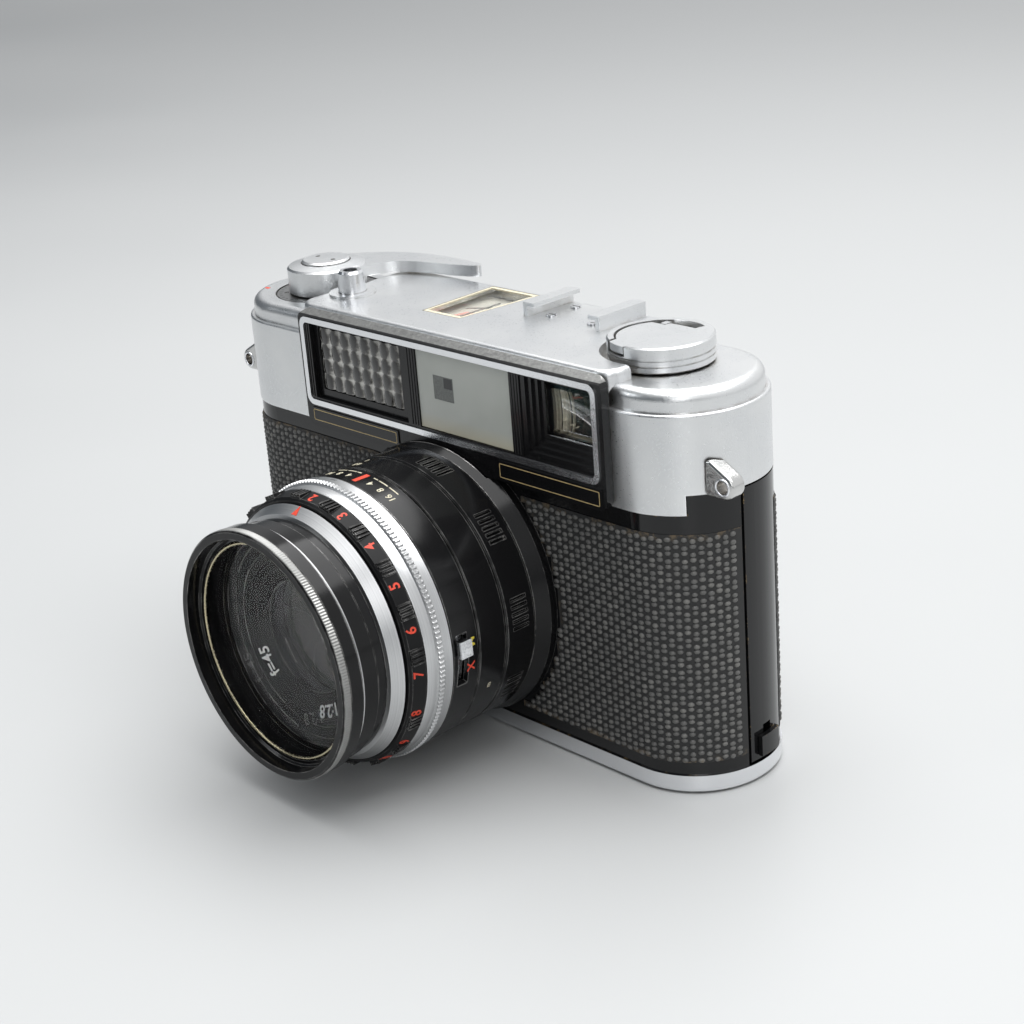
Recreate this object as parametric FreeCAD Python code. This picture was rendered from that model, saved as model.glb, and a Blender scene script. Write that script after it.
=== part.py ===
import FreeCAD, Part
import math
import os

# A 35 mm leaf-shutter rangefinder film camera, in millimetres.
# Front (lens side) faces -Y, +X is to the right seen from the front, +Z is up.
# The origin is the mouth of the tripod socket, in the middle of the base.

V = FreeCAD.Vector
EPS = 0.05                      # running clearance of shafts and rings
GAP = 0.3                       # gap between separate moving bodies

# ---- driving dimensions -------------------------------------------------
HALF_W = 68.8                   # body half width over the leatherette
HALF_D = 16.3                   # body half depth over the leatherette
CORNER = 16.0                   # plan corner radius
SKIN = 0.6                      # leatherette thickness
BASE_Z = 3.9                    # top of the chrome base plate
BODY_Z = 56.1                   # top deck of the chassis
SKIRT_Z = 56.2                  # lower edge of the top cover in front
REAR_Z = 60.0                   # lower edge of the top cover at the ends and back
LEDGE_Z = 75.0                  # step round the top cover
SHOULDER_Z = 79.0               # end shoulders of the top cover
TOP_Z = 81.5                    # raised middle of the top cover
WALL = 1.2                      # top cover wall
COVER_W = 68.1                  # top cover half width
DECK = 2.0                      # chassis deck thickness
PART_Y = -3.0                   # parting line between chassis and back door
DOOR_IN = 2.0                   # inner face of the door wall, from the outer plan
REAR_IN = 3.1                   # chassis wall behind the parting line, same measure
RAIL_Y = 9.0                    # film plane

LENS_X, LENS_Z = 3.0, 31.1      # lens axis
WIND_X, WIND_Y = -50.0, 0.0     # wind lever axis
KNOB_X, KNOB_Y = 47.0, 0.7      # rewind axis
KNOB_R = 10.0
KNOB_Z0, KNOB_Z1 = 79.3, 84.2
BUTTON_X, BUTTON_Y = -34.5, -5.6
SPROCKET_X, SPROCKET_Y = -26.6, 4.6
HINGE_X, HINGE_Y = -67.6, -4.2  # back door hinge axis

GATE_W, GATE_H = 36.0, 24.0     # film frame
TUBE_R = 20.6                   # outside of the fixed helicoid tube
UNIT_R = 19.3                   # outside of the sliding tube
HOUSE_R = 22.5                  # shutter housing that the rings turn on
FOCUS_Y0, FOCUS_Y1 = -20.5, -35.0
DEPTH_Y0, DEPTH_Y1 = -35.3, -41.6
SPEED_Y0, SPEED_Y1 = -41.9, -47.6
APERTURE_Y0, APERTURE_Y1 = -47.9, -51.2
TRIM_Y0, TRIM_Y1 = -51.5, -54.2
BARREL_Y1 = -60.1
FILTER_Y1 = -65.3
RIM_R = 24.75
IRIS_Y = -46.2                  # front face of the web that carries the iris
IRIS_PIVOT_R = 12.3

BEZEL_X0, BEZEL_X1 = -37.6, 49.6
BEZEL_Z0, BEZEL_Z1 = 55.6, 80.9
BEZEL_Y = -18.2                 # front face of the black bezel
LIP_Z = 79.7                    # where the bezel's sloped upper lip begins
TRIM_X0, TRIM_X1, TRIM_Z0, TRIM_Z1 = -36.8, 48.3, 60.5, 79.5
METER_X0, METER_X1 = -34.0, -4.5
FROST_X0, FROST_X1 = -0.9, 25.7
FINDER_X0, FINDER_X1 = 28.4, 47.0
WINDOW_Z0, WINDOW_Z1 = 62.2, 78.2
EYE_X, EYE_Z = 33.6, 71.0       # eyepiece axis
METER_CORNERS = [(-11.2, -6.6), (0.0, -6.6), (1.6, 14.0), (-12.3, 14.0)]
NEEDLE_X, NEEDLE_Y = -6.0, -6.0 # meter needle staff
SCALE_Z = 79.2                  # top of the meter's scale plate

POCKET_Z = 82.2                 # floor of the crank's pocket in the rewind knob
CRANK_Z0, CRANK_Z1 = 82.6, 84.0
CRANK_Y, CRANK_Z = KNOB_Y + 6.0, 83.3
CHORD_X, CHORD_TILT = 2.2, 12.6 # the crank's straight side: offset and slope in plan
SLEEVE_R, SHAFT_R = 3.2, 2.45   # rewind sleeve and the shaft inside it

DOOR_PIN_R = 0.6
PLATE_Y0, PLATE_Y1 = 9.8, 11.4  # film pressure plate
SCREW_SPOTS = [(14.5, 4.6), (14.5, 11.4), (25.8, 4.6), (25.8, 11.4)]
BASE_SCREW_X = (54, -56)

SHOE_X0, SHOE_X1 = 9.8, 30.5
SHOE_Y0, SHOE_Y1 = 1.6, 14.5
SHOE_Z = 84.4
LUG_X, LUG_Z = 69.5, 62.2        # eyelet's centre
LUG_NOSE_R, LUG_HOLE_R = 2.4, 1.25
LUG_Y0, LUG_Y1, LUG_Z1 = -9.6, -6.0, 66.6
ARM_Z0, ARM_Z1 = 81.9, 84.3      # wind lever's arm
PLATE_R = 8.2                    # crank's plate

os.makedirs("parts", exist_ok=True)


# ---- shape helpers ------------------------------------------------------
def box(x0, x1, y0, y1, z0, z1):
    return Part.makeBox(x1 - x0, y1 - y0, z1 - z0, V(x0, y0, z0))


def rod_z(x, y, r, z0, z1):
    return Part.makeCylinder(r, z1 - z0, V(x, y, z0))


def rod_y(x, z, r, y0, y1):
    return Part.makeCylinder(r, y1 - y0, V(x, y0, z), V(0, 1, 0))


def rod_x(y, z, r, x0, x1):
    return Part.makeCylinder(r, x1 - x0, V(x0, y, z), V(1, 0, 0))


def join(shapes):
    return shapes[0].fuse(shapes[1:]).removeSplitter()


def prism_z(points, z0, z1):
    """Polygon in the XY plane, raised from z0 to z1."""
    ring = [V(x, y, z0) for x, y in points]
    face = Part.Face(Part.makePolygon(ring + ring[:1]))
    return face.extrude(V(0, 0, z1 - z0))


def rounded(x0, x1, y0, y1, r, z0, z1):
    """Vertical prism with a rounded rectangle as its plan."""
    block = box(x0, x1, y0, y1, z0, z1)
    upright = [e for e in block.Edges if abs(e.tangentAt(e.FirstParameter).z) > 0.9]
    return block.makeFillet(r, upright)


def plate_xz(x0, x1, z0, z1, r, y0, y1):
    """Plate facing the front, with rounded corners."""
    block = box(x0, x1, y0, y1, z0, z1)
    along = [e for e in block.Edges if abs(e.tangentAt(e.FirstParameter).y) > 0.9]
    return block.makeFillet(r, along)


def slab(inset, z0, z1):
    """The body's plan, inset from the leatherette's surface."""
    w, d = HALF_W - inset, HALF_D - inset
    return rounded(-w, w, -d, d, CORNER - inset, z0, z1)


def cover_slab(inset, z0, z1):
    """The top cover's plan, inset from its outer wall."""
    w, d = COVER_W - inset, HALF_D - inset
    return rounded(-w, w, -d, d, CORNER - inset, z0, z1)


def round_top(shape, z, r):
    """Fillet every edge that lies in the plane at height z."""
    flat = [e for e in shape.Edges if all(abs(v.Z - z) < 1e-4 for v in e.Vertexes)]
    return shape.makeFillet(r, flat)


def turned(profile):
    """Solid of revolution about the lens axis from (radius, y) points."""
    ring = [V(LENS_X + r, y, LENS_Z) for r, y in profile]
    face = Part.Face(Part.makePolygon(ring + ring[:1]))
    return face.revolve(V(LENS_X, 0, LENS_Z), V(0, 1, 0), 360)


def lathe_z(x, y, profile):
    """Solid of revolution about a vertical axis from (radius, z) points."""
    ring = [V(x + r, y, z) for r, z in profile]
    face = Part.Face(Part.makePolygon(ring + ring[:1]))
    return face.revolve(V(x, y, 0), V(0, 0, 1), 360)


def lens_ring(r0, r1, y0, y1):
    return turned([(r0, y0), (r1, y0), (r1, y1), (r0, y1)])


def on_lens(shape, degrees):
    """Turn a shape about the lens axis; 0 is +X and 90 is up."""
    copy = shape.copy()
    copy.rotate(V(LENS_X, 0, LENS_Z), V(0, -1, 0), degrees)
    return copy


def at_angle(r, degrees):
    a = math.radians(degrees)
    return LENS_X + r * math.cos(a), LENS_Z + r * math.sin(a)


def knurled(blank, count, depth, r, y0, y1):
    """Cut evenly spaced V grooves into the outside of a lens ring."""
    half = math.pi * r / count * 0.55
    tip, mouth = r - depth, r + depth
    ring = [V(LENS_X + mouth, y0, LENS_Z - 2 * half), V(LENS_X + mouth, y0, LENS_Z + 2 * half),
            V(LENS_X + tip, y0, LENS_Z)]
    cutter = Part.Face(Part.makePolygon(ring + ring[:1])).extrude(V(0, y1 - y0, 0))
    return blank.cut([on_lens(cutter, 360.0 * i / count) for i in range(count)])


def lens_point(r, degrees, y):
    x, z = at_angle(r, degrees)
    return V(x, y, z)


def frame_xz(x0, x1, z0, z1, y):
    """Rectangular wire that faces the front."""
    return Part.makePolygon([V(x0, y, z0), V(x1, y, z0), V(x1, y, z1), V(x0, y, z1), V(x0, y, z0)])


def frame_on_axis(width, height, y):
    """Rectangular wire centred on the lens axis."""
    return frame_xz(LENS_X - width / 2, LENS_X + width / 2, LENS_Z - height / 2, LENS_Z + height / 2, y)


parts = {}


# ---- body ---------------------------------------------------------------
def half_body(front_inset, rear_inset, z0, z1, y1):
    """Front zone up to the parting line, and the rear zone inside the door."""
    front = slab(front_inset, z0, z1).common(box(-80, 80, -30, PART_Y, z0, z1))
    rear = slab(rear_inset, z0, z1).common(box(-80, 80, PART_Y, y1, z0, z1))
    return join([front, rear])


def make_chassis():
    floor_z = BASE_Z + DECK
    roof_z = BODY_Z - DECK
    outer = half_body(SKIN, REAR_IN, BASE_Z, BODY_Z, HALF_D)
    inner = half_body(SKIN + 1.6, REAR_IN + 1.4, floor_z, roof_z, HALF_D)
    body = outer.cut(box(-80, 80, RAIL_Y, 20, floor_z, roof_z))
    cassette = inner.common(box(35, 70, -20, 20, floor_z, roof_z))
    take_up = inner.common(box(-64, -33.4, -20, 20, floor_z, roof_z))
    sprocket_bay = box(-32.4, -20.8, -1.5, 20, floor_z, roof_z)
    centre = inner.common(box(-32.4, 33.5, -20, -2.7, floor_z, roof_z))
    centre_rear = box(-19.6, 33.5, -3, 6.5, floor_z, roof_z)
    body = body.cut([cassette, take_up, sprocket_bay, centre, centre_rear])
    tunnel = Part.makeLoft([frame_on_axis(36.5, 33, -14.2), frame_on_axis(38.4, 26.4, 7.0)], True)
    body = join([body, tunnel])
    funnel = Part.makeLoft([frame_on_axis(34.1, 30.6, -14.3), frame_on_axis(GATE_W, GATE_H, 9.1)], True)
    lens_hole = rod_y(LENS_X, LENS_Z, TUBE_R, -17, -14.0)
    body = body.cut([funnel, lens_hole])
    body = body.cut(box(-18.6, 32.6, 8.2, 9.1, 16.0, 46.2))
    rim = slab(REAR_IN, BODY_Z, REAR_Z).cut(slab(REAR_IN + 1.4, BODY_Z, REAR_Z))
    rim = rim.common(box(-80, 80, PART_Y, 20, BODY_Z, REAR_Z))
    ends = slab(SKIN, BODY_Z, REAR_Z - 0.1).cut(slab(SKIN + 2.0, BODY_Z, REAR_Z))
    ends = ends.common(box(-80, 80, -11.8, PART_Y, BODY_Z, REAR_Z))
    hinge_block = box(-68.0, -63.6, -8.0, PART_Y, floor_z, roof_z)
    body = join([body, rim, ends, hinge_block.common(slab(SKIN, floor_z, roof_z))])
    knuckle = rod_z(HINGE_X, HINGE_Y, 1.5, 22.3, 39.7)
    reliefs = [rod_z(HINGE_X, HINGE_Y, 1.9, 9.7, 22.2), rod_z(HINGE_X, HINGE_Y, 1.9, 39.8, 52.3)]
    body = join([body.cut(reliefs), knuckle])
    holes = [rod_z(HINGE_X, HINGE_Y, DOOR_PIN_R, 6.5, 54.0),
             rod_z(WIND_X, WIND_Y, 2.0 + EPS, BASE_Z - 1, BODY_Z + 1),
             rod_z(SPROCKET_X, SPROCKET_Y, 1.5 + EPS, roof_z - 1, BODY_Z + 1),
             rod_z(SPROCKET_X, SPROCKET_Y, 1.2 + EPS, BASE_Z - 1, floor_z + 1),
             rod_z(KNOB_X, KNOB_Y, SLEEVE_R + EPS, roof_z - 1, BODY_Z + 1),
             rod_z(0, 0, 5.0, BASE_Z - 1, floor_z)]
    return body.cut(holes)


def make_film_gate():
    plate = box(-18.6, 32.6, 8.2, 8.7, 16.0, 46.2)
    rails = [box(-18.6, 32.6, 8.7, RAIL_Y, z, z + 1.1) for z in (16.0, 17.6, 43.5, 45.1)]
    opening = box(LENS_X - GATE_W / 2, LENS_X + GATE_W / 2, 8, 9.2,
                  LENS_Z - GATE_H / 2, LENS_Z + GATE_H / 2)
    return join([plate] + rails).cut(opening)


def make_base_plate():
    tray = slab(0.2, 0, BASE_Z)
    edge = [e for e in tray.Edges if all(abs(v.Z) < 1e-4 for v in e.Vertexes)]
    tray = tray.makeFillet(1.3, edge)
    tray = tray.cut(slab(1.8, 1.3, BASE_Z + 1))
    seat = rod_z(0, 0, 8.0, 1.3, BASE_Z)
    tray = join([tray, seat])
    return tray.cut([rod_z(0, 0, 5.0, -1, 5), rod_z(SPROCKET_X, SPROCKET_Y, 2.6 + EPS, -1, 5),
                     rod_z(54, 0, 1.2, -1, 5), rod_z(-56, 0, 1.2, -1, 5)])


def make_tripod_bush():
    return rod_z(0, 0, 5.0, 0, BASE_Z + DECK).cut(rod_z(0, 0, 2.6, -1, 5.0))


def make_front_leatherette():
    skin = slab(0, 6.6, 52.5).cut(slab(SKIN, 6.6, 52.5))
    skin = skin.common(box(-80, 80, -30, PART_Y - 0.2, 6.6, 52.5))
    return skin.cut([rod_y(LENS_X, LENS_Z, 28.9, -20, -10), box(-80, -60, -7.0, 0, 0, 60)])


def make_top_cover():
    lower = round_top(cover_slab(0, SKIRT_Z, LEDGE_Z), LEDGE_Z, 0.5)
    upper = round_top(cover_slab(1.0, LEDGE_Z - 1, SHOULDER_Z), SHOULDER_Z, 2.0)
    middle = round_top(rounded(-40.0, 50.0, -HALF_D, 15.3, 4.0, SKIRT_Z, TOP_Z), TOP_Z, 1.1)
    middle = middle.cut([rod_z(KNOB_X, KNOB_Y, 11.4, SHOULDER_Z, TOP_Z + 1),
                         box(KNOB_X, 60, KNOB_Y - 11.4, 20, SHOULDER_Z, TOP_Z + 1),
                         rod_z(WIND_X, WIND_Y, 11.6, SHOULDER_Z, TOP_Z + 1)])
    body = join([lower, upper, middle])
    body = body.cut(rod_z(WIND_X, WIND_Y, 11.6, SHOULDER_Z - 1.2, TOP_Z + 1))
    hollow = [cover_slab(WALL, 50, LEDGE_Z - WALL), cover_slab(1.0 + WALL, 50, 76.4)]
    crown = rounded(-38.6, 48.6, -HALF_D + WALL, 14.0, 3.0, 50, TOP_Z - WALL)
    crown = crown.cut([rod_z(KNOB_X, KNOB_Y, 12.8, 76.4, 90), rod_z(WIND_X, WIND_Y, 13.0, 76.4, 90),
                       box(KNOB_X, 60, KNOB_Y - 12.8, 20, 76.4, 90)])
    body = body.cut(hollow + [crown])
    body = body.cut(box(-80, 80, -12.0, 20, 50, REAR_Z))
    body = join([body, rod_z(BUTTON_X, BUTTON_Y, 4.9, TOP_Z, TOP_Z + 0.5)])
    bezel_hole = box(-36.2, 48.0, -20, -14, 61.2, 79.0)
    eyepiece = rod_y(EYE_X, EYE_Z, 4.2, 10, 20)
    return body.cut([bezel_hole, eyepiece, rod_z(WIND_X, WIND_Y, 2.4 + EPS, 70, 90),
                     rod_z(KNOB_X, KNOB_Y, SLEEVE_R + EPS, 70, 90),
                     rod_z(BUTTON_X, BUTTON_Y, 2.95 + EPS, 70, 90), meter_prism(80, 82, 1.0)])


# ---- front bezel, viewfinder and meter ----------------------------------

def meter_prism(z0, z1, scale):
    """Four-sided window over the exposure meter, scaled about its middle."""
    cx = sum(x for x, _ in METER_CORNERS) / 4
    cy = sum(y for _, y in METER_CORNERS) / 4
    return prism_z([(cx + (x - cx) * scale, cy + (y - cy) * scale) for x, y in METER_CORNERS], z0, z1)


def make_bezel():
    face = plate_xz(BEZEL_X0, BEZEL_X1, BEZEL_Z0, BEZEL_Z1, 2.4, BEZEL_Y, -HALF_D)
    slope = Part.makePolygon([V(-60, BEZEL_Y, LIP_Z), V(-60, -HALF_D, BEZEL_Z1), V(-60, -HALF_D, 90),
                              V(-60, BEZEL_Y - 1, 90), V(-60, BEZEL_Y - 1, LIP_Z), V(-60, BEZEL_Y, LIP_Z)])
    face = face.cut(Part.Face(slope).extrude(V(120, 0, 0)))
    plug = box(-36.1, 47.9, -HALF_D, -13.6, 61.3, 78.9)
    body = join([face, plug])
    openings = [box(METER_X0, METER_X1, -20, -12, WINDOW_Z0, WINDOW_Z1),
                box(FROST_X0, FROST_X1, -20, -12, WINDOW_Z0, WINDOW_Z1),
                box(FINDER_X0, FINDER_X1, -20, -12, WINDOW_Z0, WINDOW_Z1)]
    return body.cut(openings)


def make_bezel_trim():
    frame = plate_xz(TRIM_X0, TRIM_X1, TRIM_Z0, TRIM_Z1, 2.0, BEZEL_Y - 0.3, BEZEL_Y)
    return frame.cut(plate_xz(TRIM_X0 + 1.2, TRIM_X1 - 1.2, TRIM_Z0 + 1.2, TRIM_Z1 - 1.2, 1.0,
                              BEZEL_Y - 1, BEZEL_Y + 1))


def make_nameplates():
    left = plate_xz(-35.8, -8.0, 56.6, 59.9, 0.3, BEZEL_Y - 0.25, BEZEL_Y)
    right = plate_xz(21.0, 48.6, 56.0, 59.9, 0.3, BEZEL_Y - 0.25, BEZEL_Y)
    return Part.makeCompound([left, right])


def make_meter_grid():
    """Clear plate whose front carries rows of small round-topped lenslets."""
    columns, rows = 8, 4
    x0, x1, z0, z1 = METER_X0 + 0.1, METER_X1 - 0.1, WINDOW_Z0 + 0.1, WINDOW_Z1 - 0.1
    plate = box(x0, x1, -16.8, -14.8, z0, z1)
    grid_x0, grid_x1, grid_z0, grid_z1 = -32.6, -7.0, 64.2, 77.3
    pitch_x = (grid_x1 - grid_x0) / columns
    pitch_z = (grid_z1 - grid_z0) / rows
    bumps = []
    for column in range(columns):
        bar = rod_z(grid_x0 + pitch_x * (column + 0.5), -16.2, pitch_x * 0.46, grid_z0, grid_z1)
        bumps.append(bar)
    grooves = [box(grid_x0 - 1, grid_x1 + 1, -19, -17.2, grid_z0 + pitch_z * row - 0.12,
                   grid_z0 + pitch_z * row + 0.12) for row in range(1, rows)]
    return join([plate] + bumps).cut(grooves).common(box(x0, x1, -20, -14.8, z0, z1))


def make_viewfinder_box():
    """Tapered light box with a mask in front that frames the lens."""
    outer = Part.makeLoft([frame_xz(32.0, 47.8, 65.6, 76.2, -13.5),
                           frame_xz(29.0, 38.2, 66.0, 76.0, 13.6)], True)
    inner = Part.makeLoft([frame_xz(33.0, 46.8, 66.6, 75.4, -13.6),
                           frame_xz(29.9, 37.3, 66.9, 75.1, 13.7)], True)
    mask = box(FINDER_X0 + 0.1, FINDER_X1 - 0.1, -14.4, -13.5, WINDOW_Z0 + 0.1, WINDOW_Z1 - 0.1)
    return join([outer, mask]).cut([inner, box(33.0, 46.6, -15, -13, 66.6, 75.4)])


def make_beam_splitter():
    mirror = box(34.5, 35.0, -4.0, 4.5, 67.2, 74.9)
    mirror.rotate(V(36.5, 0, 70), V(0, 0, 1), -45)
    return mirror


def make_meter_movement():
    """Meter housing on the top deck with the scale plate on it."""
    plate_z = SCALE_Z - 3.2
    housing = rod_z(NEEDLE_X, NEEDLE_Y + 8.3, 9.0, BODY_Z, plate_z)
    return join([housing, box(-15.0, 3.0, -9.0, 13.6, plate_z, SCALE_Z)])


def make_needle():
    """Thin pointer above the meter scale, on a short staff."""
    staff = rod_z(NEEDLE_X, NEEDLE_Y, 0.5, SCALE_Z + 0.1, SCALE_Z + 0.8)
    pointer = box(NEEDLE_X - 0.2, NEEDLE_X + 0.2, NEEDLE_Y, NEEDLE_Y + 16.0, SCALE_Z + 0.4, SCALE_Z + 0.6)
    return join([staff, pointer])


def make_shoe():
    lip = 3.0
    sides = []
    for x_wall, x_lip in ((SHOE_X0, SHOE_X0), (SHOE_X1 - 1.1, SHOE_X1 - lip)):
        sides.append(box(x_wall, x_wall + 1.1, SHOE_Y0, SHOE_Y1, TOP_Z, SHOE_Z))
        sides.append(box(x_lip, x_lip + lip, SHOE_Y0, SHOE_Y1, SHOE_Z - 0.85, SHOE_Z))
    left = join(sides[:2])
    right = join(sides[2:])
    return Part.makeCompound([left, right])


def make_strap_lugs():
    """Plate with a round nose about its eyelet, on each side of the top cover."""
    root_x, shoulder_x = 60.0, 66.6
    rise = math.hypot(shoulder_x - LUG_X, LUG_Z1 - LUG_Z)
    touch = math.atan2(LUG_Z1 - LUG_Z, shoulder_x - LUG_X) - math.acos(LUG_NOSE_R / rise)
    nose_top = V(LUG_X + LUG_NOSE_R * math.cos(touch), LUG_Y0, LUG_Z + LUG_NOSE_R * math.sin(touch))
    bottom = LUG_Z - LUG_NOSE_R
    points = [V(LUG_X, LUG_Y0, bottom), V(root_x, LUG_Y0, bottom), V(root_x, LUG_Y0, LUG_Z1),
              V(shoulder_x, LUG_Y0, LUG_Z1), nose_top]
    nose = Part.Arc(nose_top, V(LUG_X + LUG_NOSE_R, LUG_Y0, LUG_Z), points[0]).toShape()
    outline = Part.Wire([nose] + [Part.makeLine(a, b) for a, b in zip(points, points[1:])])
    lug = Part.Face(outline).extrude(V(0, LUG_Y1 - LUG_Y0, 0))
    faces_rim = [e for e in lug.Edges if abs(e.tangentAt(e.FirstParameter).y) < 0.1]
    rims = [e for e in faces_rim if e.BoundBox.XMax > root_x + 1]
    lug = lug.makeFillet(0.7, rims)
    lug = lug.cut([rod_y(LUG_X, LUG_Z, LUG_HOLE_R, -11, -4), cover_slab(0, 50, 90), slab(0, 50, 90)])
    mirror = lug.mirror(V(0, 0, 0), V(1, 0, 0))
    return Part.makeCompound([lug, mirror])


# ---- film transport -----------------------------------------------------
def make_wind_lever():
    boss = lathe_z(WIND_X, WIND_Y, [(2.4, 79.3), (8.5, 79.3), (8.5, 84.3), (8.1, 84.7), (5.4, 85.2),
                                    (5.4, 84.6), (2.4, 84.6)])
    outer = [(-57.6, 3.6), (-55.6, 6.8), (-52.0, 10.6), (-48.0, 13.7), (-43.5, 16.2), (-38.0, 17.9),
             (-31.7, 18.6), (-25.5, 18.6), (-20.8, 18.2)]
    nose = [(-20.8, 18.2), (-19.3, 17.3), (-20.9, 15.9)]
    inner = [(-20.9, 15.9), (-24.9, 14.6), (-32.0, 12.8), (-37.2, 10.9), (-40.2, 7.6), (-41.7, 3.0),
             (-42.0, 0.0)]
    edges = []
    for run in (outer, nose, inner):
        curve = Part.BSplineCurve()
        curve.interpolate([V(x, y, ARM_Z0) for x, y in run])
        edges.append(curve.toShape())
    heel = V(WIND_X, WIND_Y, ARM_Z0)
    edges += [Part.makeLine(V(*inner[-1], ARM_Z0), heel), Part.makeLine(heel, V(*outer[0], ARM_Z0))]
    arm = Part.Face(Part.Wire(edges)).extrude(V(0, 0, ARM_Z1 - ARM_Z0))
    core = rod_z(WIND_X, WIND_Y, 6.0, 70, 90)
    return join([boss, arm.cut(core)])


def make_wind_shaft():
    shaft = rod_z(WIND_X, WIND_Y, 2.4, 57.3, 84.6)
    cap = lathe_z(WIND_X, WIND_Y, [(0, 84.6), (5.2, 84.6), (5.2, 85.5), (4.8, 85.8), (0, 85.9)])
    pins = [rod_z(WIND_X + s * 2.6, WIND_Y, 0.5, 85.2, 90) for s in (-1, 1)]
    return join([shaft, cap]).cut(pins)


def make_take_up_spool():
    drum = rod_z(WIND_X, WIND_Y, 6.8, 7.6, 53.4).cut(rod_z(WIND_X, WIND_Y, 5.6, 8.8, 52.2))
    slots = [box(WIND_X - 1.0, WIND_X + 1.0, WIND_Y - 10, WIND_Y + 10, 16, 46)]
    flange = rod_z(WIND_X, WIND_Y, 10.5, 6.4, 7.6)
    axle = rod_z(WIND_X, WIND_Y, 2.0, BASE_Z + 0.3, 57.0)
    return join([drum.cut(slots), flange, axle])


def make_sprocket():
    body = rod_z(SPROCKET_X, SPROCKET_Y, 3.4, 12.0, 50.0)
    rims = [rod_z(SPROCKET_X, SPROCKET_Y, 4.0, z, z + 3.2) for z in (14.6, 44.0)]
    teeth = []
    for z in (15.6, 45.0):
        tooth = box(SPROCKET_X + 3.5, SPROCKET_X + 4.9, SPROCKET_Y - 0.6, SPROCKET_Y + 0.6, z, z + 1.2)
        for i in range(8):
            copy = tooth.copy()
            copy.rotate(V(SPROCKET_X, SPROCKET_Y, 0), V(0, 0, 1), 45 * i + 22.5)
            teeth.append(copy)
    axle = rod_z(SPROCKET_X, SPROCKET_Y, 1.5, 8.0, 58.0)
    return join([body] + rims + teeth + [axle])


def make_counter_dial():
    return lathe_z(WIND_X, WIND_Y, [(2.4 + EPS, 78.1), (11.2, 78.1), (11.2, 78.9), (2.4 + EPS, 78.9)])


def make_shutter_button():
    profile = [(0, 60.0), (1.2, 60.0), (1.2, 79.6), (2.95, 79.6), (2.95, 82.2), (2.65, 86.0),
               (2.3, 86.5), (0, 86.5)]
    return lathe_z(BUTTON_X, BUTTON_Y, profile).cut(rod_z(BUTTON_X, BUTTON_Y, 1.5, 82.5, 90))


# ---- rewind -------------------------------------------------------------
def left_of_chord(offset, z0, z1):
    """Half-space block on the crank's side of its straight edge."""
    block = box(KNOB_X - 20, KNOB_X + CHORD_X - offset, KNOB_Y - 30, KNOB_Y + 30, z0, z1)
    block.rotate(V(KNOB_X + CHORD_X, KNOB_Y, 0), V(0, 0, 1), -CHORD_TILT)
    return block


def make_rewind_knob():
    outline = [(SHAFT_R, KNOB_Z0), (KNOB_R - 0.3, KNOB_Z0), (KNOB_R, KNOB_Z0 + 0.3)]
    for groove_z in (80.5, 81.6):
        outline += [(KNOB_R, groove_z), (KNOB_R - 0.25, groove_z + 0.1),
                    (KNOB_R - 0.25, groove_z + 0.25), (KNOB_R, groove_z + 0.35)]
    outline += [(KNOB_R, KNOB_Z1 - 0.3), (KNOB_R - 0.3, KNOB_Z1), (0, KNOB_Z1), (0, 81.2), (SHAFT_R, 81.2)]
    knob = lathe_z(KNOB_X, KNOB_Y, outline)
    pocket = rod_z(KNOB_X, KNOB_Y, PLATE_R + 0.4, POCKET_Z, 90).common(left_of_chord(0, POCKET_Z, 90))
    notch = box(KNOB_X - 5.1, KNOB_X + 0.1, KNOB_Y - 12, KNOB_Y - 4.5, POCKET_Z, 90)
    ear = box(KNOB_X - 4.8, KNOB_X - 3.5, CRANK_Y - 0.9, CRANK_Y + 0.9, POCKET_Z, CRANK_Z1)
    knob = join([knob.cut([pocket, notch]), ear])
    return knob.cut(rod_x(CRANK_Y, CRANK_Z, 0.5, KNOB_X - 5.0, KNOB_X + 5.0))


def make_rewind_crank():
    """Plate that folds flat into the knob, with a tongue over the rim to lift it by."""
    reach = left_of_chord(GAP, CRANK_Z0, CRANK_Z1)
    plate = rod_z(KNOB_X, KNOB_Y, PLATE_R, CRANK_Z0, CRANK_Z1)
    tongue = box(KNOB_X - 4.8, KNOB_X - 0.2, KNOB_Y - 12, KNOB_Y - 4.0, CRANK_Z0, CRANK_Z1)
    tongue = tongue.common(rod_z(KNOB_X, KNOB_Y, KNOB_R - 0.2, CRANK_Z0, CRANK_Z1))
    beyond = box(KNOB_X - 12, KNOB_X + 12, CRANK_Y, CRANK_Y + 12, CRANK_Z0 - 1, CRANK_Z1 + 1)
    ear_gap = box(KNOB_X - 12, KNOB_X - 3.2, CRANK_Y - 1.2, CRANK_Y + 12, CRANK_Z0 - 1, CRANK_Z1 + 1)
    flat = join([plate, tongue]).common(reach).cut([beyond, ear_gap])
    hub = rod_x(CRANK_Y, CRANK_Z, (CRANK_Z1 - CRANK_Z0) / 2, KNOB_X - 2.9, KNOB_X + 3.0)
    pin = rod_x(CRANK_Y, CRANK_Z, 0.45, KNOB_X - 4.6, KNOB_X + 4.6)
    return join([flat, hub, pin])


def make_rewind_shaft():
    shaft = rod_z(KNOB_X, KNOB_Y, SHAFT_R, 46.0, 81.2)
    return shaft.cut([box(KNOB_X - 0.9, KNOB_X + 0.9, KNOB_Y - 4, KNOB_Y + 4, 45, 50.5)])


def make_rewind_sleeve():
    return rod_z(KNOB_X, KNOB_Y, SLEEVE_R, 56.6, 78.9).cut(rod_z(KNOB_X, KNOB_Y, SHAFT_R + EPS, 50, 90))


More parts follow.
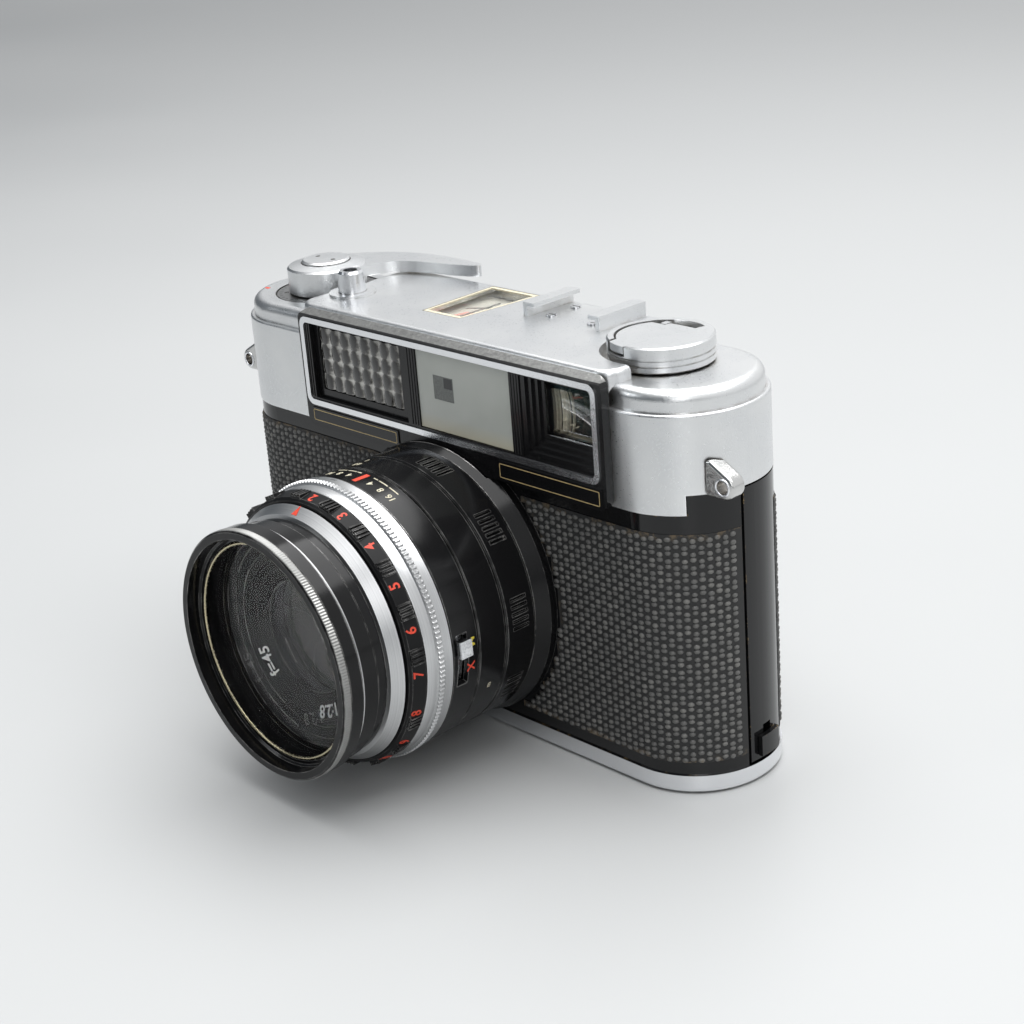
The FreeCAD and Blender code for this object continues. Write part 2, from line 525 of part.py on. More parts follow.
# ---- back door ----------------------------------------------------------
def make_back_door():
    wall = slab(SKIN, 4.3, 59.7).cut(slab(DOOR_IN, 4.3, 59.7))
    wall = wall.cut(box(-80, 80, -30, PART_Y + 0.6, 0, 70))
    knuckles = []
    for z0, z1 in ((10.0, 21.9), (40.1, 52.0)):
        knuckles.append(rod_z(HINGE_X, HINGE_Y, 1.5, z0, z1))
        knuckles.append(box(-68.2, -66.8, HINGE_Y, -2.2, z0, z1))
    door = join([wall] + knuckles)
    latch_slot = box(60, 70, 1.0, 3.4, 5.0, 11.0)
    return door.cut([rod_z(HINGE_X, HINGE_Y, DOOR_PIN_R + EPS, 5, 60), latch_slot])


def make_back_leatherette():
    skin = slab(0, 6.6, 54.0).cut(slab(SKIN, 6.6, 54.0))
    skin = skin.common(box(-80, 80, 2.7, 30, 6.6, 54.0))
    return skin.cut(box(60, 80, -5, 8.5, 0, 12.4))


def make_pressure_plate():
    return box(-17.0, 31.0, PLATE_Y0, PLATE_Y1, 17.0, 45.2)


def make_pressure_spring():
    """Leaf spring between the door's inner face and the pressure plate."""
    door_y, leaf = HALF_D - DOOR_IN, 0.4
    strip = [(-14, door_y), (-14, door_y - leaf), (-6, door_y - leaf), (-1, PLATE_Y1), (7, PLATE_Y1),
             (12, door_y - leaf), (20, door_y - leaf), (20, door_y), (11.8, door_y),
             (6.8, PLATE_Y1 + leaf), (-0.8, PLATE_Y1 + leaf), (-5.8, door_y)]
    return prism_z(strip, 27.0, 35.0)


def make_door_latch():
    tab = slab(-0.5, 5.2, 9.4).cut(slab(SKIN - 0.15, 5.2, 9.4)).common(box(60, 75, -0.6, 5.0, 5.2, 9.4))
    stem = box(66.0, 68.5, 1.3, 3.1, 5.6, 8.2)
    hook = box(65.95, 66.35, 0.9, 3.3, 5.6, 8.2)
    return join([tab, stem.common(slab(0.2, 5, 12)), hook])


def make_release_button():
    head = rod_z(SPROCKET_X, SPROCKET_Y, 2.6, 0.2, 2.2)
    stem = rod_z(SPROCKET_X, SPROCKET_Y, 1.2, 2.2, 6.2)
    return join([head, stem])


# ---- lens ---------------------------------------------------------------
def make_mount_plate():
    flange = turned([(TUBE_R, -15.7), (28.9, -15.7), (28.9, -17.4), (27.4, -20.2), (TUBE_R, -20.2)])
    return flange.cut([box(-60, 60, -18.5, -10, 55.4, 90), box(-60, 60, -17.0, -10, 0, BASE_Z + 0.1)])


def make_focus_ring():
    ring = turned([(TUBE_R + EPS, FOCUS_Y0), (27.5, FOCUS_Y0), (27.9, -20.9), (27.9, -27.7),
                   (27.6, -28.0), (27.2, -28.1), (27.2, -28.3), (27.8, -28.5), (27.8, -34.8),
                   (27.6, FOCUS_Y1), (TUBE_R + EPS, FOCUS_Y1)])
    groove = box(LENS_X + 27.3, LENS_X + 29, -26.4, -22.4, LENS_Z - 0.35, LENS_Z + 0.35)
    cuts = []
    for group in range(10):
        for rib in range(-2, 3):
            cuts.append(on_lens(groove, 36.0 * group + 3.0 * rib + 4.0))
    return ring.cut(cuts)


def make_helicoid():
    return lens_ring(UNIT_R + EPS, TUBE_R, -15.0, -34.6)


def make_shutter_housing():
    """Sliding tube with its front housing, and the web that carries the iris."""
    housing = turned([(17.4, -15.0), (UNIT_R, -15.0), (UNIT_R, -35.3), (HOUSE_R, -35.3),
                      (HOUSE_R, TRIM_Y0), (21.6, TRIM_Y0), (21.6, -53.0), (14.4, -53.0), (14.4, -50.4),
                      (12.6, -50.4), (12.6, -49.75), (14.4, -49.75), (14.4, IRIS_Y),
                      (9.0, IRIS_Y), (9.0, -44.6), (17.4, -44.6)])
    x, z = at_angle(IRIS_PIVOT_R, 2)
    bore = rod_y(x, z, 0.4 + EPS, IRIS_Y - 0.1, IRIS_Y + 0.9)
    return housing.cut([on_lens(bore, 72 * i) for i in range(5)])


def make_depth_ring():
    ring = turned([(HOUSE_R, DEPTH_Y0), (27.6, DEPTH_Y0), (27.84, DEPTH_Y0 - 0.2), (27.84, DEPTH_Y1),
                   (26.6, DEPTH_Y1), (26.6, -36.8), (HOUSE_R, -36.8)])
    cutter = box(LENS_X + 26, LENS_X + 29, -40.6, -38.0, LENS_Z - 1.0, LENS_Z + 1.0)
    slot = [on_lens(cutter, angle) for angle in range(-14, 7, 3)]
    return ring.cut(slot)


def make_sync_lever():
    base = lens_ring(HOUSE_R + EPS, 26.3, -37.2, -41.4)
    tab = box(LENS_X + 25.8, LENS_X + 29.4, -40.2, -38.4, LENS_Z - 1.4, LENS_Z + 1.4)
    grip = box(LENS_X + 28.2, LENS_X + 29.4, -41.0, -38.2, LENS_Z - 1.7, LENS_Z + 1.7)
    return join([base, on_lens(join([tab, grip]), 1.0)])


def make_speed_ring():
    """Silver ring: smooth scale band behind, raised knurl, narrow band in front."""
    ring = turned([(HOUSE_R + EPS, SPEED_Y0), (28.0, SPEED_Y0), (28.1, -42.2), (27.8, -43.5),
                   (28.3, -43.7), (28.3, -45.2), (27.5, -45.4), (27.2, SPEED_Y1),
                   (HOUSE_R + EPS, SPEED_Y1)])
    return knurled(ring, 150, 0.4, 28.3, -45.3, -43.6)


def make_aperture_ring():
    """Black ring with numbers in hollows between raised, grooved grips."""
    ring = turned([(HOUSE_R + EPS, APERTURE_Y0), (27.4, APERTURE_Y0), (27.4, -48.2), (26.8, -50.8),
                   (26.2, APERTURE_Y1), (HOUSE_R + EPS, APERTURE_Y1)])
    grip = box(LENS_X + 25, LENS_X + 27.6, -50.9, -48.1, LENS_Z - 1.5, LENS_Z + 1.5)
    groove = box(LENS_X + 27.15, LENS_X + 28, -51.5, -47.8, LENS_Z - 0.25, LENS_Z + 0.25)
    grips = []
    grooves = []
    for i in range(20):
        middle = 4.5 + 18.3 * i
        if middle > 352:
            break
        grips.append(on_lens(grip, middle))
        for rib in (-1, 0, 1):
            grooves.append(on_lens(groove, middle + 2.0 * rib))
    return join([ring] + grips).cut(grooves)


def make_trim_ring():
    return turned([(21.6, TRIM_Y0), (25.6, TRIM_Y0), (25.8, -51.8), (24.4, -54.0), (23.6, TRIM_Y1),
                   (21.6, TRIM_Y1)])


def make_front_barrel():
    """Black front barrel with the filter thread inside its rim."""
    return turned([(17.6, TRIM_Y1), (23.6, TRIM_Y1), (23.6, -56.2), (24.0, -56.6), (24.0, BARREL_Y1),
                   (23.0, BARREL_Y1), (23.0, -57.1), (21.0, -57.1), (20.0, -55.8), (17.6, -55.8)])


def make_name_ring():
    return turned([(11.4, -53.0), (17.6, -53.0), (17.6, -55.8), (17.2, -56.0), (11.4, -54.2)])


def make_filter_ring():
    return turned([(21.9, BARREL_Y1 + 2.6), (22.9, BARREL_Y1 + 2.6), (22.9, BARREL_Y1 - 0.2),
                   (24.3, BARREL_Y1 - 0.2), (RIM_R, BARREL_Y1 - 0.6), (RIM_R, -63.4), (24.5, -63.5),
                   (24.5, -64.9), (RIM_R, -65.0), (24.4, FILTER_Y1), (23.0, FILTER_Y1), (23.0, -62.6),
                   (22.6, -62.2), (21.9, -62.2)])


def make_filter_glass():
    return lens_ring(0, 21.9, -60.0, -61.8)


def lens_glass(radius, y_edge, sag, thickness):
    """Bulging glass disc: a sphere cap in front, flat behind."""
    steps = 8
    profile = [(0, y_edge + thickness), (radius, y_edge + thickness)]
    for i in range(steps + 1):
        r = radius * (1 - i / steps)
        profile.append((r, y_edge - sag * (1 - (r / radius) ** 2)))
    return turned(profile)


def make_iris_blade(index):
    """Crescent blade on its own pin; each blade lies in its own layer."""
    layer = IRIS_Y - 0.4 - 0.42 * index
    steps = 12
    outer = [(11.0, 4 + 100.0 * i / steps) for i in range(steps + 1)]
    inner = [(8.2, 104 - 100.0 * i / steps) for i in range(steps + 1)]
    ring = [lens_point(r, a, layer) for r, a in outer + inner]
    blade = Part.Face(Part.makePolygon(ring + ring[:1])).extrude(V(0, -0.14, 0))
    x, z = at_angle(IRIS_PIVOT_R, 2)
    lobe = rod_y(x, z, 1.15, layer - 0.14, layer)
    x_neck, z_neck = at_angle(10.6, 6)
    neck = rod_y(x_neck, z_neck, 1.2, layer - 0.14, layer)
    pin = rod_y(x, z, 0.4, layer, IRIS_Y + 0.8)
    return on_lens(join([blade, lobe, neck, pin]), 72 * index)


def make_shutter_blades():
    """Five closed leaves that meet along slanted edges."""
    leaves = []
    for i in range(5):
        points = [(0.25, 0), (6, 18), (13.2, 30), (13.4, 48), (13.4, 64), (13.4, 82), (13.2, 98),
                  (6.1, 85), (0.45, 60)]
        ring = [lens_point(r, a + 72 * i, -49.6) for r, a in points]
        leaves.append(Part.Face(Part.makePolygon(ring + ring[:1])).extrude(V(0, -0.15, 0)))
    return Part.makeCompound(leaves)


def make_screws():
    """Pan-head screws in the shoe's floor and the base."""
    top = [rod_z(x, y, 1.1, TOP_Z, TOP_Z + 0.35) for x, y in SCREW_SPOTS]
    base = [rod_z(x, 0, 1.2, 0.15, BASE_Z) for x in BASE_SCREW_X]
    slots = [box(x - 1.2, x + 1.2, y - 0.15, y + 0.15, TOP_Z + 0.15, TOP_Z + 1) for x, y in SCREW_SPOTS]
    slots += [box(x - 1.2, x + 1.2, -0.15, 0.15, 0, 0.6) for x in BASE_SCREW_X]
    return Part.makeCompound([screw.cut(slots) for screw in top + base])


def make_all():
    parts["chassis"] = make_chassis()
    parts["film_gate"] = make_film_gate()
    parts["base_plate"] = make_base_plate()
    parts["tripod_bush"] = make_tripod_bush()
    parts["front_leatherette"] = make_front_leatherette()
    parts["top_cover"] = make_top_cover()
    parts["bezel_moulding"] = make_bezel()
    parts["bezel_trim"] = make_bezel_trim()
    parts["nameplates"] = make_nameplates()
    parts["meter_lens_grid"] = make_meter_grid()
    parts["selenium_cell"] = box(METER_X0 + 1, METER_X1 - 1, -14.6, -13.8, 63.4, 77.4)
    parts["meter_window"] = meter_prism(TOP_Z - 0.7, TOP_Z - 0.05, 0.99)
    parts["meter_scale"] = make_meter_movement()
    parts["meter_needle"] = make_needle()
    parts["frosted_window"] = box(FROST_X0 + 0.1, FROST_X1 - 0.1, -17.9, -16.4, 62.3, 78.1)
    parts["viewfinder_lens"] = box(32.4, 46.8, -15.9, -14.4, 65.8, 76.6)
    parts["viewfinder_box"] = make_viewfinder_box()
    parts["beam_splitter"] = make_beam_splitter()
    parts["eyepiece_lens"] = rod_y(EYE_X, EYE_Z, 4.2, 14.0, 15.9)
    parts["accessory_shoe"] = make_shoe()
    parts["strap_lugs"] = make_strap_lugs()
    parts["cover_screws"] = make_screws()
    parts["hinge_pin"] = rod_z(HINGE_X, HINGE_Y, DOOR_PIN_R, 6.5, 54.0)
    parts["lens_mount_plate"] = make_mount_plate()
    parts["helicoid_tube"] = make_helicoid()
    parts["wind_lever"] = make_wind_lever()
    parts["wind_shaft"] = make_wind_shaft()
    parts["take_up_spool"] = make_take_up_spool()
    parts["film_sprocket"] = make_sprocket()
    parts["frame_counter_dial"] = make_counter_dial()
    parts["shutter_button"] = make_shutter_button()
    parts["rewind_sleeve"] = make_rewind_sleeve()
    parts["rewind_knob"] = make_rewind_knob()
    parts["rewind_shaft"] = make_rewind_shaft()
    parts["rewind_crank"] = make_rewind_crank()
    parts["back_door"] = make_back_door()
    parts["back_leatherette"] = make_back_leatherette()
    parts["pressure_plate"] = make_pressure_plate()
    parts["pressure_spring"] = make_pressure_spring()
    parts["door_latch"] = make_door_latch()
    parts["rewind_release_button"] = make_release_button()
    parts["focus_ring"] = make_focus_ring()
    parts["shutter_housing"] = make_shutter_housing()
    parts["depth_scale_ring"] = make_depth_ring()
    parts["sync_lever"] = make_sync_lever()
    parts["speed_ring"] = make_speed_ring()
    parts["aperture_ring"] = make_aperture_ring()
    parts["front_trim_ring"] = make_trim_ring()
    parts["front_barrel"] = make_front_barrel()
    parts["name_ring"] = make_name_ring()
    parts["filter_ring"] = make_filter_ring()
    parts["filter_glass"] = make_filter_glass()
    parts["front_glass"] = lens_glass(11.4, -53.2, 1.6, 2.0)
    parts["rear_glass"] = lens_glass(9.0, -41.0, 0.8, 2.0)
    parts["shutter_blades"] = make_shutter_blades()
    for index in range(5):
        parts["iris_blade_%d" % (index + 1)] = make_iris_blade(index)


make_all()
for name, shape in parts.items():
    shape.exportStep("parts/%s.step" % name)
    print(name, len(shape.Solids), round(shape.Volume, 2), shape.isValid())
print(len(parts), "nodes")
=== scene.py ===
import math
import random

import bmesh
import bpy
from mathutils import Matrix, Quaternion, Vector

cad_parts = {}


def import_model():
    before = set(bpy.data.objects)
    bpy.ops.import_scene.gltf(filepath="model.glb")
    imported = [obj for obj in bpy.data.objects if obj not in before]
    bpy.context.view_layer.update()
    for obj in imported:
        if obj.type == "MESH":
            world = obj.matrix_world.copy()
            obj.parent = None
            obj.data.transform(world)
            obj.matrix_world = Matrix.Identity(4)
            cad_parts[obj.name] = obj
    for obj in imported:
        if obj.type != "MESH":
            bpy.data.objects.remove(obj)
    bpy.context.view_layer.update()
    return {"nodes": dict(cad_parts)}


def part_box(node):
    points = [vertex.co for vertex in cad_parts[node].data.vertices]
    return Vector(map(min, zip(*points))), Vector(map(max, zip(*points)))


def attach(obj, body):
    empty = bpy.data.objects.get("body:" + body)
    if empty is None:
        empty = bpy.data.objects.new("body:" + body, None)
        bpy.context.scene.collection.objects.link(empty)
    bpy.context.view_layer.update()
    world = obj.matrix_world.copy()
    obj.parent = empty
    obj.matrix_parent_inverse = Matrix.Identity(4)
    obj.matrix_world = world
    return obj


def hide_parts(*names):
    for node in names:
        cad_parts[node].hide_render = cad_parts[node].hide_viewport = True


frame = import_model()

# Shapes are in millimetres until a mesh is made; materials, light and camera are in metres.
MM = 0.001


def corners(node):
    """Lowest and highest corner of a CAD node, in millimetres."""
    low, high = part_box(node)
    return [v / MM for v in low], [v / MM for v in high]


def span(node, axis):
    low, high = corners(node)
    return low[axis], high[axis]


X, Y, Z = 0, 1, 2


def radius(node):
    """Radius of a round CAD node."""
    low, high = span(node, X)
    return (high - low) / 2


FRONTAL = (X, Z, Y)             # an outline drawn in the front plane, extruded along Y
LENS_X = sum(span("front_barrel", X)) / 2
LENS_Z = sum(span("front_barrel", Z)) / 2
SHARP = 38                      # degrees between faces where smooth shading breaks


# ---- mesh helpers -------------------------------------------------------
def piece(name, points, faces, key, body, smooth):
    """A mesh from points in millimetres, riding on a CAD body; key names its material."""
    mesh = bpy.data.meshes.new(name)
    mesh.from_pydata([tuple(c * MM for c in p) for p in points], [], faces)
    mesh.validate()
    if smooth:
        mesh.polygons.foreach_set("use_smooth", [True] * len(mesh.polygons))
        mesh.set_sharp_from_angle(angle=math.radians(SHARP))
    mesh.materials.append(materials[key])
    obj = bpy.data.objects.new(name, mesh)
    bpy.context.scene.collection.objects.link(obj)
    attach(obj, body)
    return obj


def recalculate(obj):
    """Make every closed shell's faces point outwards."""
    work = bmesh.new()
    work.from_mesh(obj.data)
    bmesh.ops.recalc_face_normals(work, faces=work.faces)
    work.to_mesh(obj.data)
    work.free()
    return obj


class Solid:
    """Points and faces gathered from closed shapes, each given as (points, faces)."""

    def __init__(self, *shapes):
        self.points, self.faces = [], []
        for shape in shapes:
            self.add(*shape)

    def add(self, points, faces):
        start = len(self.points)
        self.points += [tuple(p) for p in points]
        self.faces += [tuple(start + i for i in face) for face in faces]

    def make(self, name, key, body, slot, smooth=True):
        return recalculate(piece(name, self.points, self.faces, key, body, smooth))


def crisp(name, key, body, slot, *shapes):
    """A piece made of the given shapes, without smooth shading."""
    Solid(*shapes).make(name, key, body, slot, smooth=False)


def bevelled_box(x0, x1, y0, y1, z0, z1, r):
    """A box with its twelve edges cut at 45 degrees."""
    points = []
    for x, sx in ((x0, r), (x1, -r)):
        for y, sy in ((y0, r), (y1, -r)):
            for z, sz in ((z0, r), (z1, -r)):
                points += [(x + sx, y + sy, z), (x + sx, y, z + sz), (x, y + sy, z + sz)]
    return hull(points)


def hull(points):
    """Convex hull of a few points as (points, faces)."""
    work = bmesh.new()
    for p in points:
        work.verts.new(p)
    found = bmesh.ops.convex_hull(work, input=work.verts)
    loose = [v for v in found["geom_interior"] if isinstance(v, bmesh.types.BMVert)]
    bmesh.ops.delete(work, geom=loose, context="VERTS")
    bmesh.ops.dissolve_limit(work, angle_limit=0.01, verts=work.verts, edges=work.edges)
    work.verts.index_update()
    made = ([tuple(v.co) for v in work.verts], [[v.index for v in f.verts] for f in work.faces])
    work.free()
    return made


def raised(outline, levels, order):
    """An outline's points at each level; order says which axis each value lies on."""
    points = []
    for level in levels:
        for u, v in outline:
            p = [0, 0, 0]
            p[order[0]], p[order[1]], p[order[2]] = u, v, level
            points.append(p)
    return points


def prism(outline, z0, z1, order=(X, Y, Z)):
    """Extrude a closed outline between two levels."""
    count = len(outline)
    sides = [(i, (i + 1) % count, count + (i + 1) % count, count + i) for i in range(count)]
    return raised(outline, (z0, z1), order), sides + [tuple(range(count)), tuple(range(count, 2 * count))]


def outline_frame(outer, inner, z0, z1, order=(X, Y, Z)):
    """A flat frame between two outlines that have the same number of points."""
    count, faces = len(outer), []
    top = 2 * count
    for i in range(count):
        j = (i + 1) % count
        faces += [(i, j, count + j, count + i), (top + i, top + j, top + count + j, top + count + i),
                  (i, j, top + j, top + i), (count + i, count + j, top + count + j, top + count + i)]
    return raised(list(outer) + list(inner), (z0, z1), order), faces


def rounded_rectangle(x0, x1, y0, y1, r, steps=3):
    """Points of a rectangle whose corners are arcs."""
    made = []
    middles = ((x1 - r, y1 - r), (x0 + r, y1 - r), (x0 + r, y0 + r), (x1 - r, y0 + r))
    for quarter, (cx, cy) in enumerate(middles):
        for i in range(steps + 1):
            a = math.radians(90 * (quarter + i / steps))
            made.append((cx + r * math.cos(a), cy + r * math.sin(a)))
    return made


def on_lens(r, degrees, y, centre=(LENS_X, LENS_Z)):
    """Point at radius r round the lens axis, or another one along Y; 0 is +X and 90 is up."""
    a = math.radians(degrees)
    return centre[0] + r * math.cos(a), y, centre[1] + r * math.sin(a)


def loft(rings):
    """Closed tube through rings of equally many points; the last ring joins the first."""
    count, size = len(rings), len(rings[0])
    faces = []
    for i in range(count):
        a, b = i * size, (i + 1) % count * size
        for k in range(size):
            n = (k + 1) % size
            faces.append((a + k, b + k, b + n, a + n))
    return [p for ring in rings for p in ring], faces


def turned(profile, count=160, teeth=None, centre=(LENS_X, LENS_Z)):
    """Ring round an axis along Y from (radius, y) points; teeth(i, radius) adds to the radii."""
    rings = []
    for i in range(count):
        rings.append([on_lens(r + (teeth(i, r) if teeth else 0), 360 * i / count, y, centre)
                      for r, y in profile])
    return loft(rings)


def wire(r, y, thick, count=10):
    """Profile of a ring of round wire."""
    around = [2 * math.pi * i / count for i in range(count)]
    return [(r + thick * math.cos(a), y + thick * math.sin(a)) for a in around]


def net(cuts):
    """Quads of a square net of (cuts + 1) squared points, and the indices round its rim."""
    side = cuts + 1
    quads = []
    for i in range(cuts):
        for k in range(cuts):
            a = i * side + k
            quads.append((a, a + 1, a + side + 1, a + side))
    rim = [i * side for i in range(cuts)] + [cuts * side + k for k in range(cuts)]
    rim += [i * side + cuts for i in range(cuts, 0, -1)] + list(range(cuts, 0, -1))
    return quads, rim


# ---- lettering: numbers and generic marks only --------------------------
LIFT = 0.03                     # half height of a mark above its surface


def glyphs(text, size, bold=0.0):
    """Solid characters as points (u, v, height) and faces, centred on the origin."""
    curve = bpy.data.curves.new("glyphs", "FONT")
    curve.body = text
    curve.size = size
    curve.extrude = LIFT
    curve.offset = bold
    curve.resolution_u = 3
    curve.align_x = "CENTER"
    curve.align_y = "CENTER"
    obj = bpy.data.objects.new("glyphs", curve)
    bpy.context.scene.collection.objects.link(obj)
    bpy.context.view_layer.update()
    mesh = bpy.data.meshes.new_from_object(obj.evaluated_get(bpy.context.evaluated_depsgraph_get()))
    points = [tuple(v.co) for v in mesh.vertices]
    faces = [tuple(p.vertices) for p in mesh.polygons]
    bpy.data.objects.remove(obj)
    bpy.data.meshes.remove(mesh)
    return points, faces


def bar(u0, u1, v0, v1, steps=1):
    """A flat bar for scales, in the same (u, v, height) form as glyphs."""
    points = []
    for i in range(steps + 1):
        u = u0 + (u1 - u0) * i / steps
        points += [(u, v0, -LIFT), (u, v1, -LIFT), (u, v1, LIFT), (u, v0, LIFT)]
    faces = [(0, 1, 2, 3), tuple(4 * steps + k for k in (3, 2, 1, 0))]
    for i in range(steps):
        for k in range(4):
            n = (k + 1) % 4
            faces.append((4 * i + k, 4 * i + n, 4 * i + 4 + n, 4 * i + 4 + k))
    return points, faces


def wrap(shape, degrees, y, radius):
    """Lay a (u, v, height) shape on a ring with profile radius(y): u runs round it, v to the front."""
    points, faces = shape
    made = []
    for u, v, h in points:
        r = radius(y - v)
        made.append(on_lens(r + h + LIFT / 2, degrees + math.degrees(u / r), y - v))
    return made, faces


def cone(r0, y0, r1, y1):
    return lambda y: r0 + (r1 - r0) * (y - y0) / (y1 - y0)


def flat_on(shape, cx, cy, z, turn=0):
    """Lay a (u, v, height) shape on a level surface."""
    c, s = math.cos(math.radians(turn)), math.sin(math.radians(turn))
    points, faces = shape
    return [(cx + u * c - v * s, cy + u * s + v * c, z + h) for u, v, h in points], faces


# ---- materials ----------------------------------------------------------
class Shader:
    """A node material with a few short helpers."""

    def __init__(self, name, **values):
        self.material = bpy.data.materials.new(name)
        self.material.use_nodes = True
        self.tree = self.material.node_tree
        self.surface = self.tree.nodes["Principled BSDF"]
        for key, value in values.items():
            self.surface.inputs[key.replace("_", " ")].default_value = value
        self.place = self.node("ShaderNodeTexCoord").outputs["Object"]

    def node(self, kind, **settings):
        made = self.tree.nodes.new(kind)
        for key, value in settings.items():
            setattr(made, key, value)
        return made

    def link(self, value, socket):
        if isinstance(value, bpy.types.NodeSocket):
            self.tree.links.new(value, socket)
        else:
            socket.default_value = value

    def set(self, name, value):
        self.link(value, self.surface.inputs[name])

    def noise(self, scale, detail=3, roughness=0.5, place=None):
        made = self.node("ShaderNodeTexNoise")
        self.link(place or self.place, made.inputs["Vector"])
        made.inputs["Scale"].default_value = scale
        made.inputs["Detail"].default_value = detail
        made.inputs["Roughness"].default_value = roughness
        return made.outputs["Fac"]

    def ramp(self, value, *stops):
        """Colours or greys at positions along a value."""
        made = self.node("ShaderNodeValToRGB")
        self.link(value, made.inputs["Fac"])
        strip = made.color_ramp.elements
        while len(strip) < len(stops):
            strip.new(0.5)
        for element, (position, colour) in zip(strip, stops):
            element.position = position
            if not hasattr(colour, "__len__"):
                colour = (colour,) * 3
            element.color = (*colour[:3], 1)
        return made.outputs["Color"]

    def range(self, value, low, high, to_low=0.0, to_high=1.0):
        made = self.node("ShaderNodeMapRange")
        self.link(value, made.inputs["Value"])
        for key, number in (("From Min", low), ("From Max", high), ("To Min", to_low), ("To Max", to_high)):
            made.inputs[key].default_value = number
        return made.outputs["Result"]

    def mix(self, share, a, b):
        made = self.node("ShaderNodeMix", data_type="RGBA")
        self.link(share, made.inputs[0])
        for value, socket in ((a, made.inputs[6]), (b, made.inputs[7])):
            if hasattr(value, "__len__") and len(value) == 3:
                value = (*value, 1)
            self.link(value, socket)
        return made.outputs[2]

    def math(self, operation, a, b=0.0, **settings):
        made = self.node("ShaderNodeMath", operation=operation, **settings)
        for value, socket in zip((a, b), made.inputs):
            self.link(value, socket)
        return made.outputs[0]

    def times(self, a, b):
        return self.math("MULTIPLY", a, b)

    def plus(self, a, b):
        return self.math("ADD", a, b)

    def specks(self, scale, low, high, detail=6, roughness=0.75):
        """1 in the spots where a noise is over high, 0 where it is under low."""
        return self.ramp(self.noise(scale, detail, roughness), (low, 0.0), (high, 1.0))

    def spread(self, value, low, high):
        """A noise brought to run from low to high."""
        return self.range(value, 0.3, 0.7, low, high)

    def split(self, vector):
        made = self.node("ShaderNodeSeparateXYZ")
        self.link(vector, made.inputs[0])
        return made.outputs

    def edges(self, radius, sharpness):
        """1 on the convex and concave edges of a hard shape, 0 on its faces."""
        bevel = self.node("ShaderNodeBevel", samples=4)
        bevel.inputs["Radius"].default_value = radius
        dot = self.node("ShaderNodeVectorMath", operation="DOT_PRODUCT")
        self.link(bevel.outputs[0], dot.inputs[0])
        self.link(self.node("ShaderNodeNewGeometry").outputs["Normal"], dot.inputs[1])
        bend = self.math("SUBTRACT", 1.0, dot.outputs["Value"])
        return self.math("MULTIPLY", bend, sharpness, use_clamp=True)

    def hollows(self, distance=0.002):
        """1 in corners and crevices, found by ambient occlusion; the materials darken these as painted
        shade.
        """
        shade = self.node("ShaderNodeAmbientOcclusion", samples=4)
        shade.inputs["Distance"].default_value = distance
        return self.range(shade.outputs["AO"], 0.75, 0.25)

    def rings(self, centre, radial, stretch=7000.0):
        """Fine turning lines round an axis: a noise that changes only across them."""
        made = self.node("ShaderNodeVectorMath", operation="SUBTRACT")
        self.link(self.place, made.inputs[0])
        made.inputs[1].default_value = centre
        along = self.split(made.outputs[0])
        a, b = radial
        radius = self.math("SQRT", self.plus(self.times(along[a], along[a]), self.times(along[b], along[b])))
        joined = self.node("ShaderNodeCombineXYZ")
        self.link(self.times(radius, stretch), joined.inputs[0])
        self.link(self.times(along[3 - a - b], stretch), joined.inputs[1])
        return self.noise(1.0, detail=4, roughness=0.7, place=joined.outputs[0])

    def bump(self, height, distance, strength):
        made = self.node("ShaderNodeBump")
        made.inputs["Strength"].default_value = strength
        made.inputs["Distance"].default_value = distance
        self.link(height, made.inputs["Height"])
        self.set("Normal", made.outputs[0])

    def attribute(self, name):
        return self.node("ShaderNodeAttribute", attribute_name=name).outputs["Fac"]


LENS_CENTRE = (LENS_X * MM, 0.0, LENS_Z * MM)


def satin_chrome(name, rough=0.30, shade_and_dirt_strength=0.7):
    """Bead-blasted chrome plate: fine grain, polished edges, and warm soiling with painted shade in the
    corners.
    """
    m = Shader(name, Metallic=1.0)
    cloud = m.noise(90, detail=4)
    grain = m.noise(3600, detail=2)
    plate = m.ramp(cloud, (0.3, (0.7178, 0.7289, 0.74)), (0.7, (0.777, 0.7844, 0.7844)))
    speck = m.specks(1500, 0.70, 0.76, detail=5, roughness=0.7)
    # Painted shade with a warm soiling tint: corners found by ambient occlusion darken brown in patches.
    dirt_and_shade = m.times(m.hollows(), m.ramp(m.noise(420, detail=5), (0.42, 0.15), (0.62, shade_and_dirt_strength)))
    worn = m.edges(0.0003, 5.0)
    colour = m.mix(m.times(speck, 0.14), plate, (0.42, 0.40, 0.37))
    colour = m.mix(dirt_and_shade, colour, (0.20, 0.155, 0.10))
    colour = m.mix(m.times(worn, 0.55), colour, (0.92, 0.92, 0.92))
    m.set("Base Color", colour)
    gloss = m.plus(m.spread(grain, rough - 0.05, rough + 0.06), m.times(cloud, 0.04))
    m.set("Roughness", m.math("SUBTRACT", gloss, m.times(worn, 0.14)))
    m.bump(grain, 0.00003, 0.6)
    return m.material


def bright_chrome(name, tint=(0.84, 0.85, 0.87), rough=0.11, hollow=0.0006, shade_and_dirt_strength=0.6):
    """Polished chrome with hair scratches, a few dull spots, and painted shade in its corners."""
    m = Shader(name, Metallic=1.0)
    scratch = m.ramp(m.noise(700, detail=8, roughness=0.85), (0.46, 0.0), (0.5, 1.0), (0.54, 0.0))
    spots = m.specks(260, 0.66, 0.76, roughness=0.7)
    # Painted shade with a soiling tint: corners found by ambient occlusion are darkened brown.
    dirt_and_shade = m.times(m.hollows(hollow), shade_and_dirt_strength)
    colour = m.mix(m.times(spots, 0.3), tint, (0.46, 0.44, 0.42))
    m.set("Base Color", m.mix(dirt_and_shade, colour, (0.16, 0.13, 0.10)))
    dull = m.plus(m.times(scratch, 0.08), m.times(spots, 0.22))
    m.set("Roughness", m.plus(dull, rough))
    m.bump(scratch, 0.000006, 0.4)
    return m.material


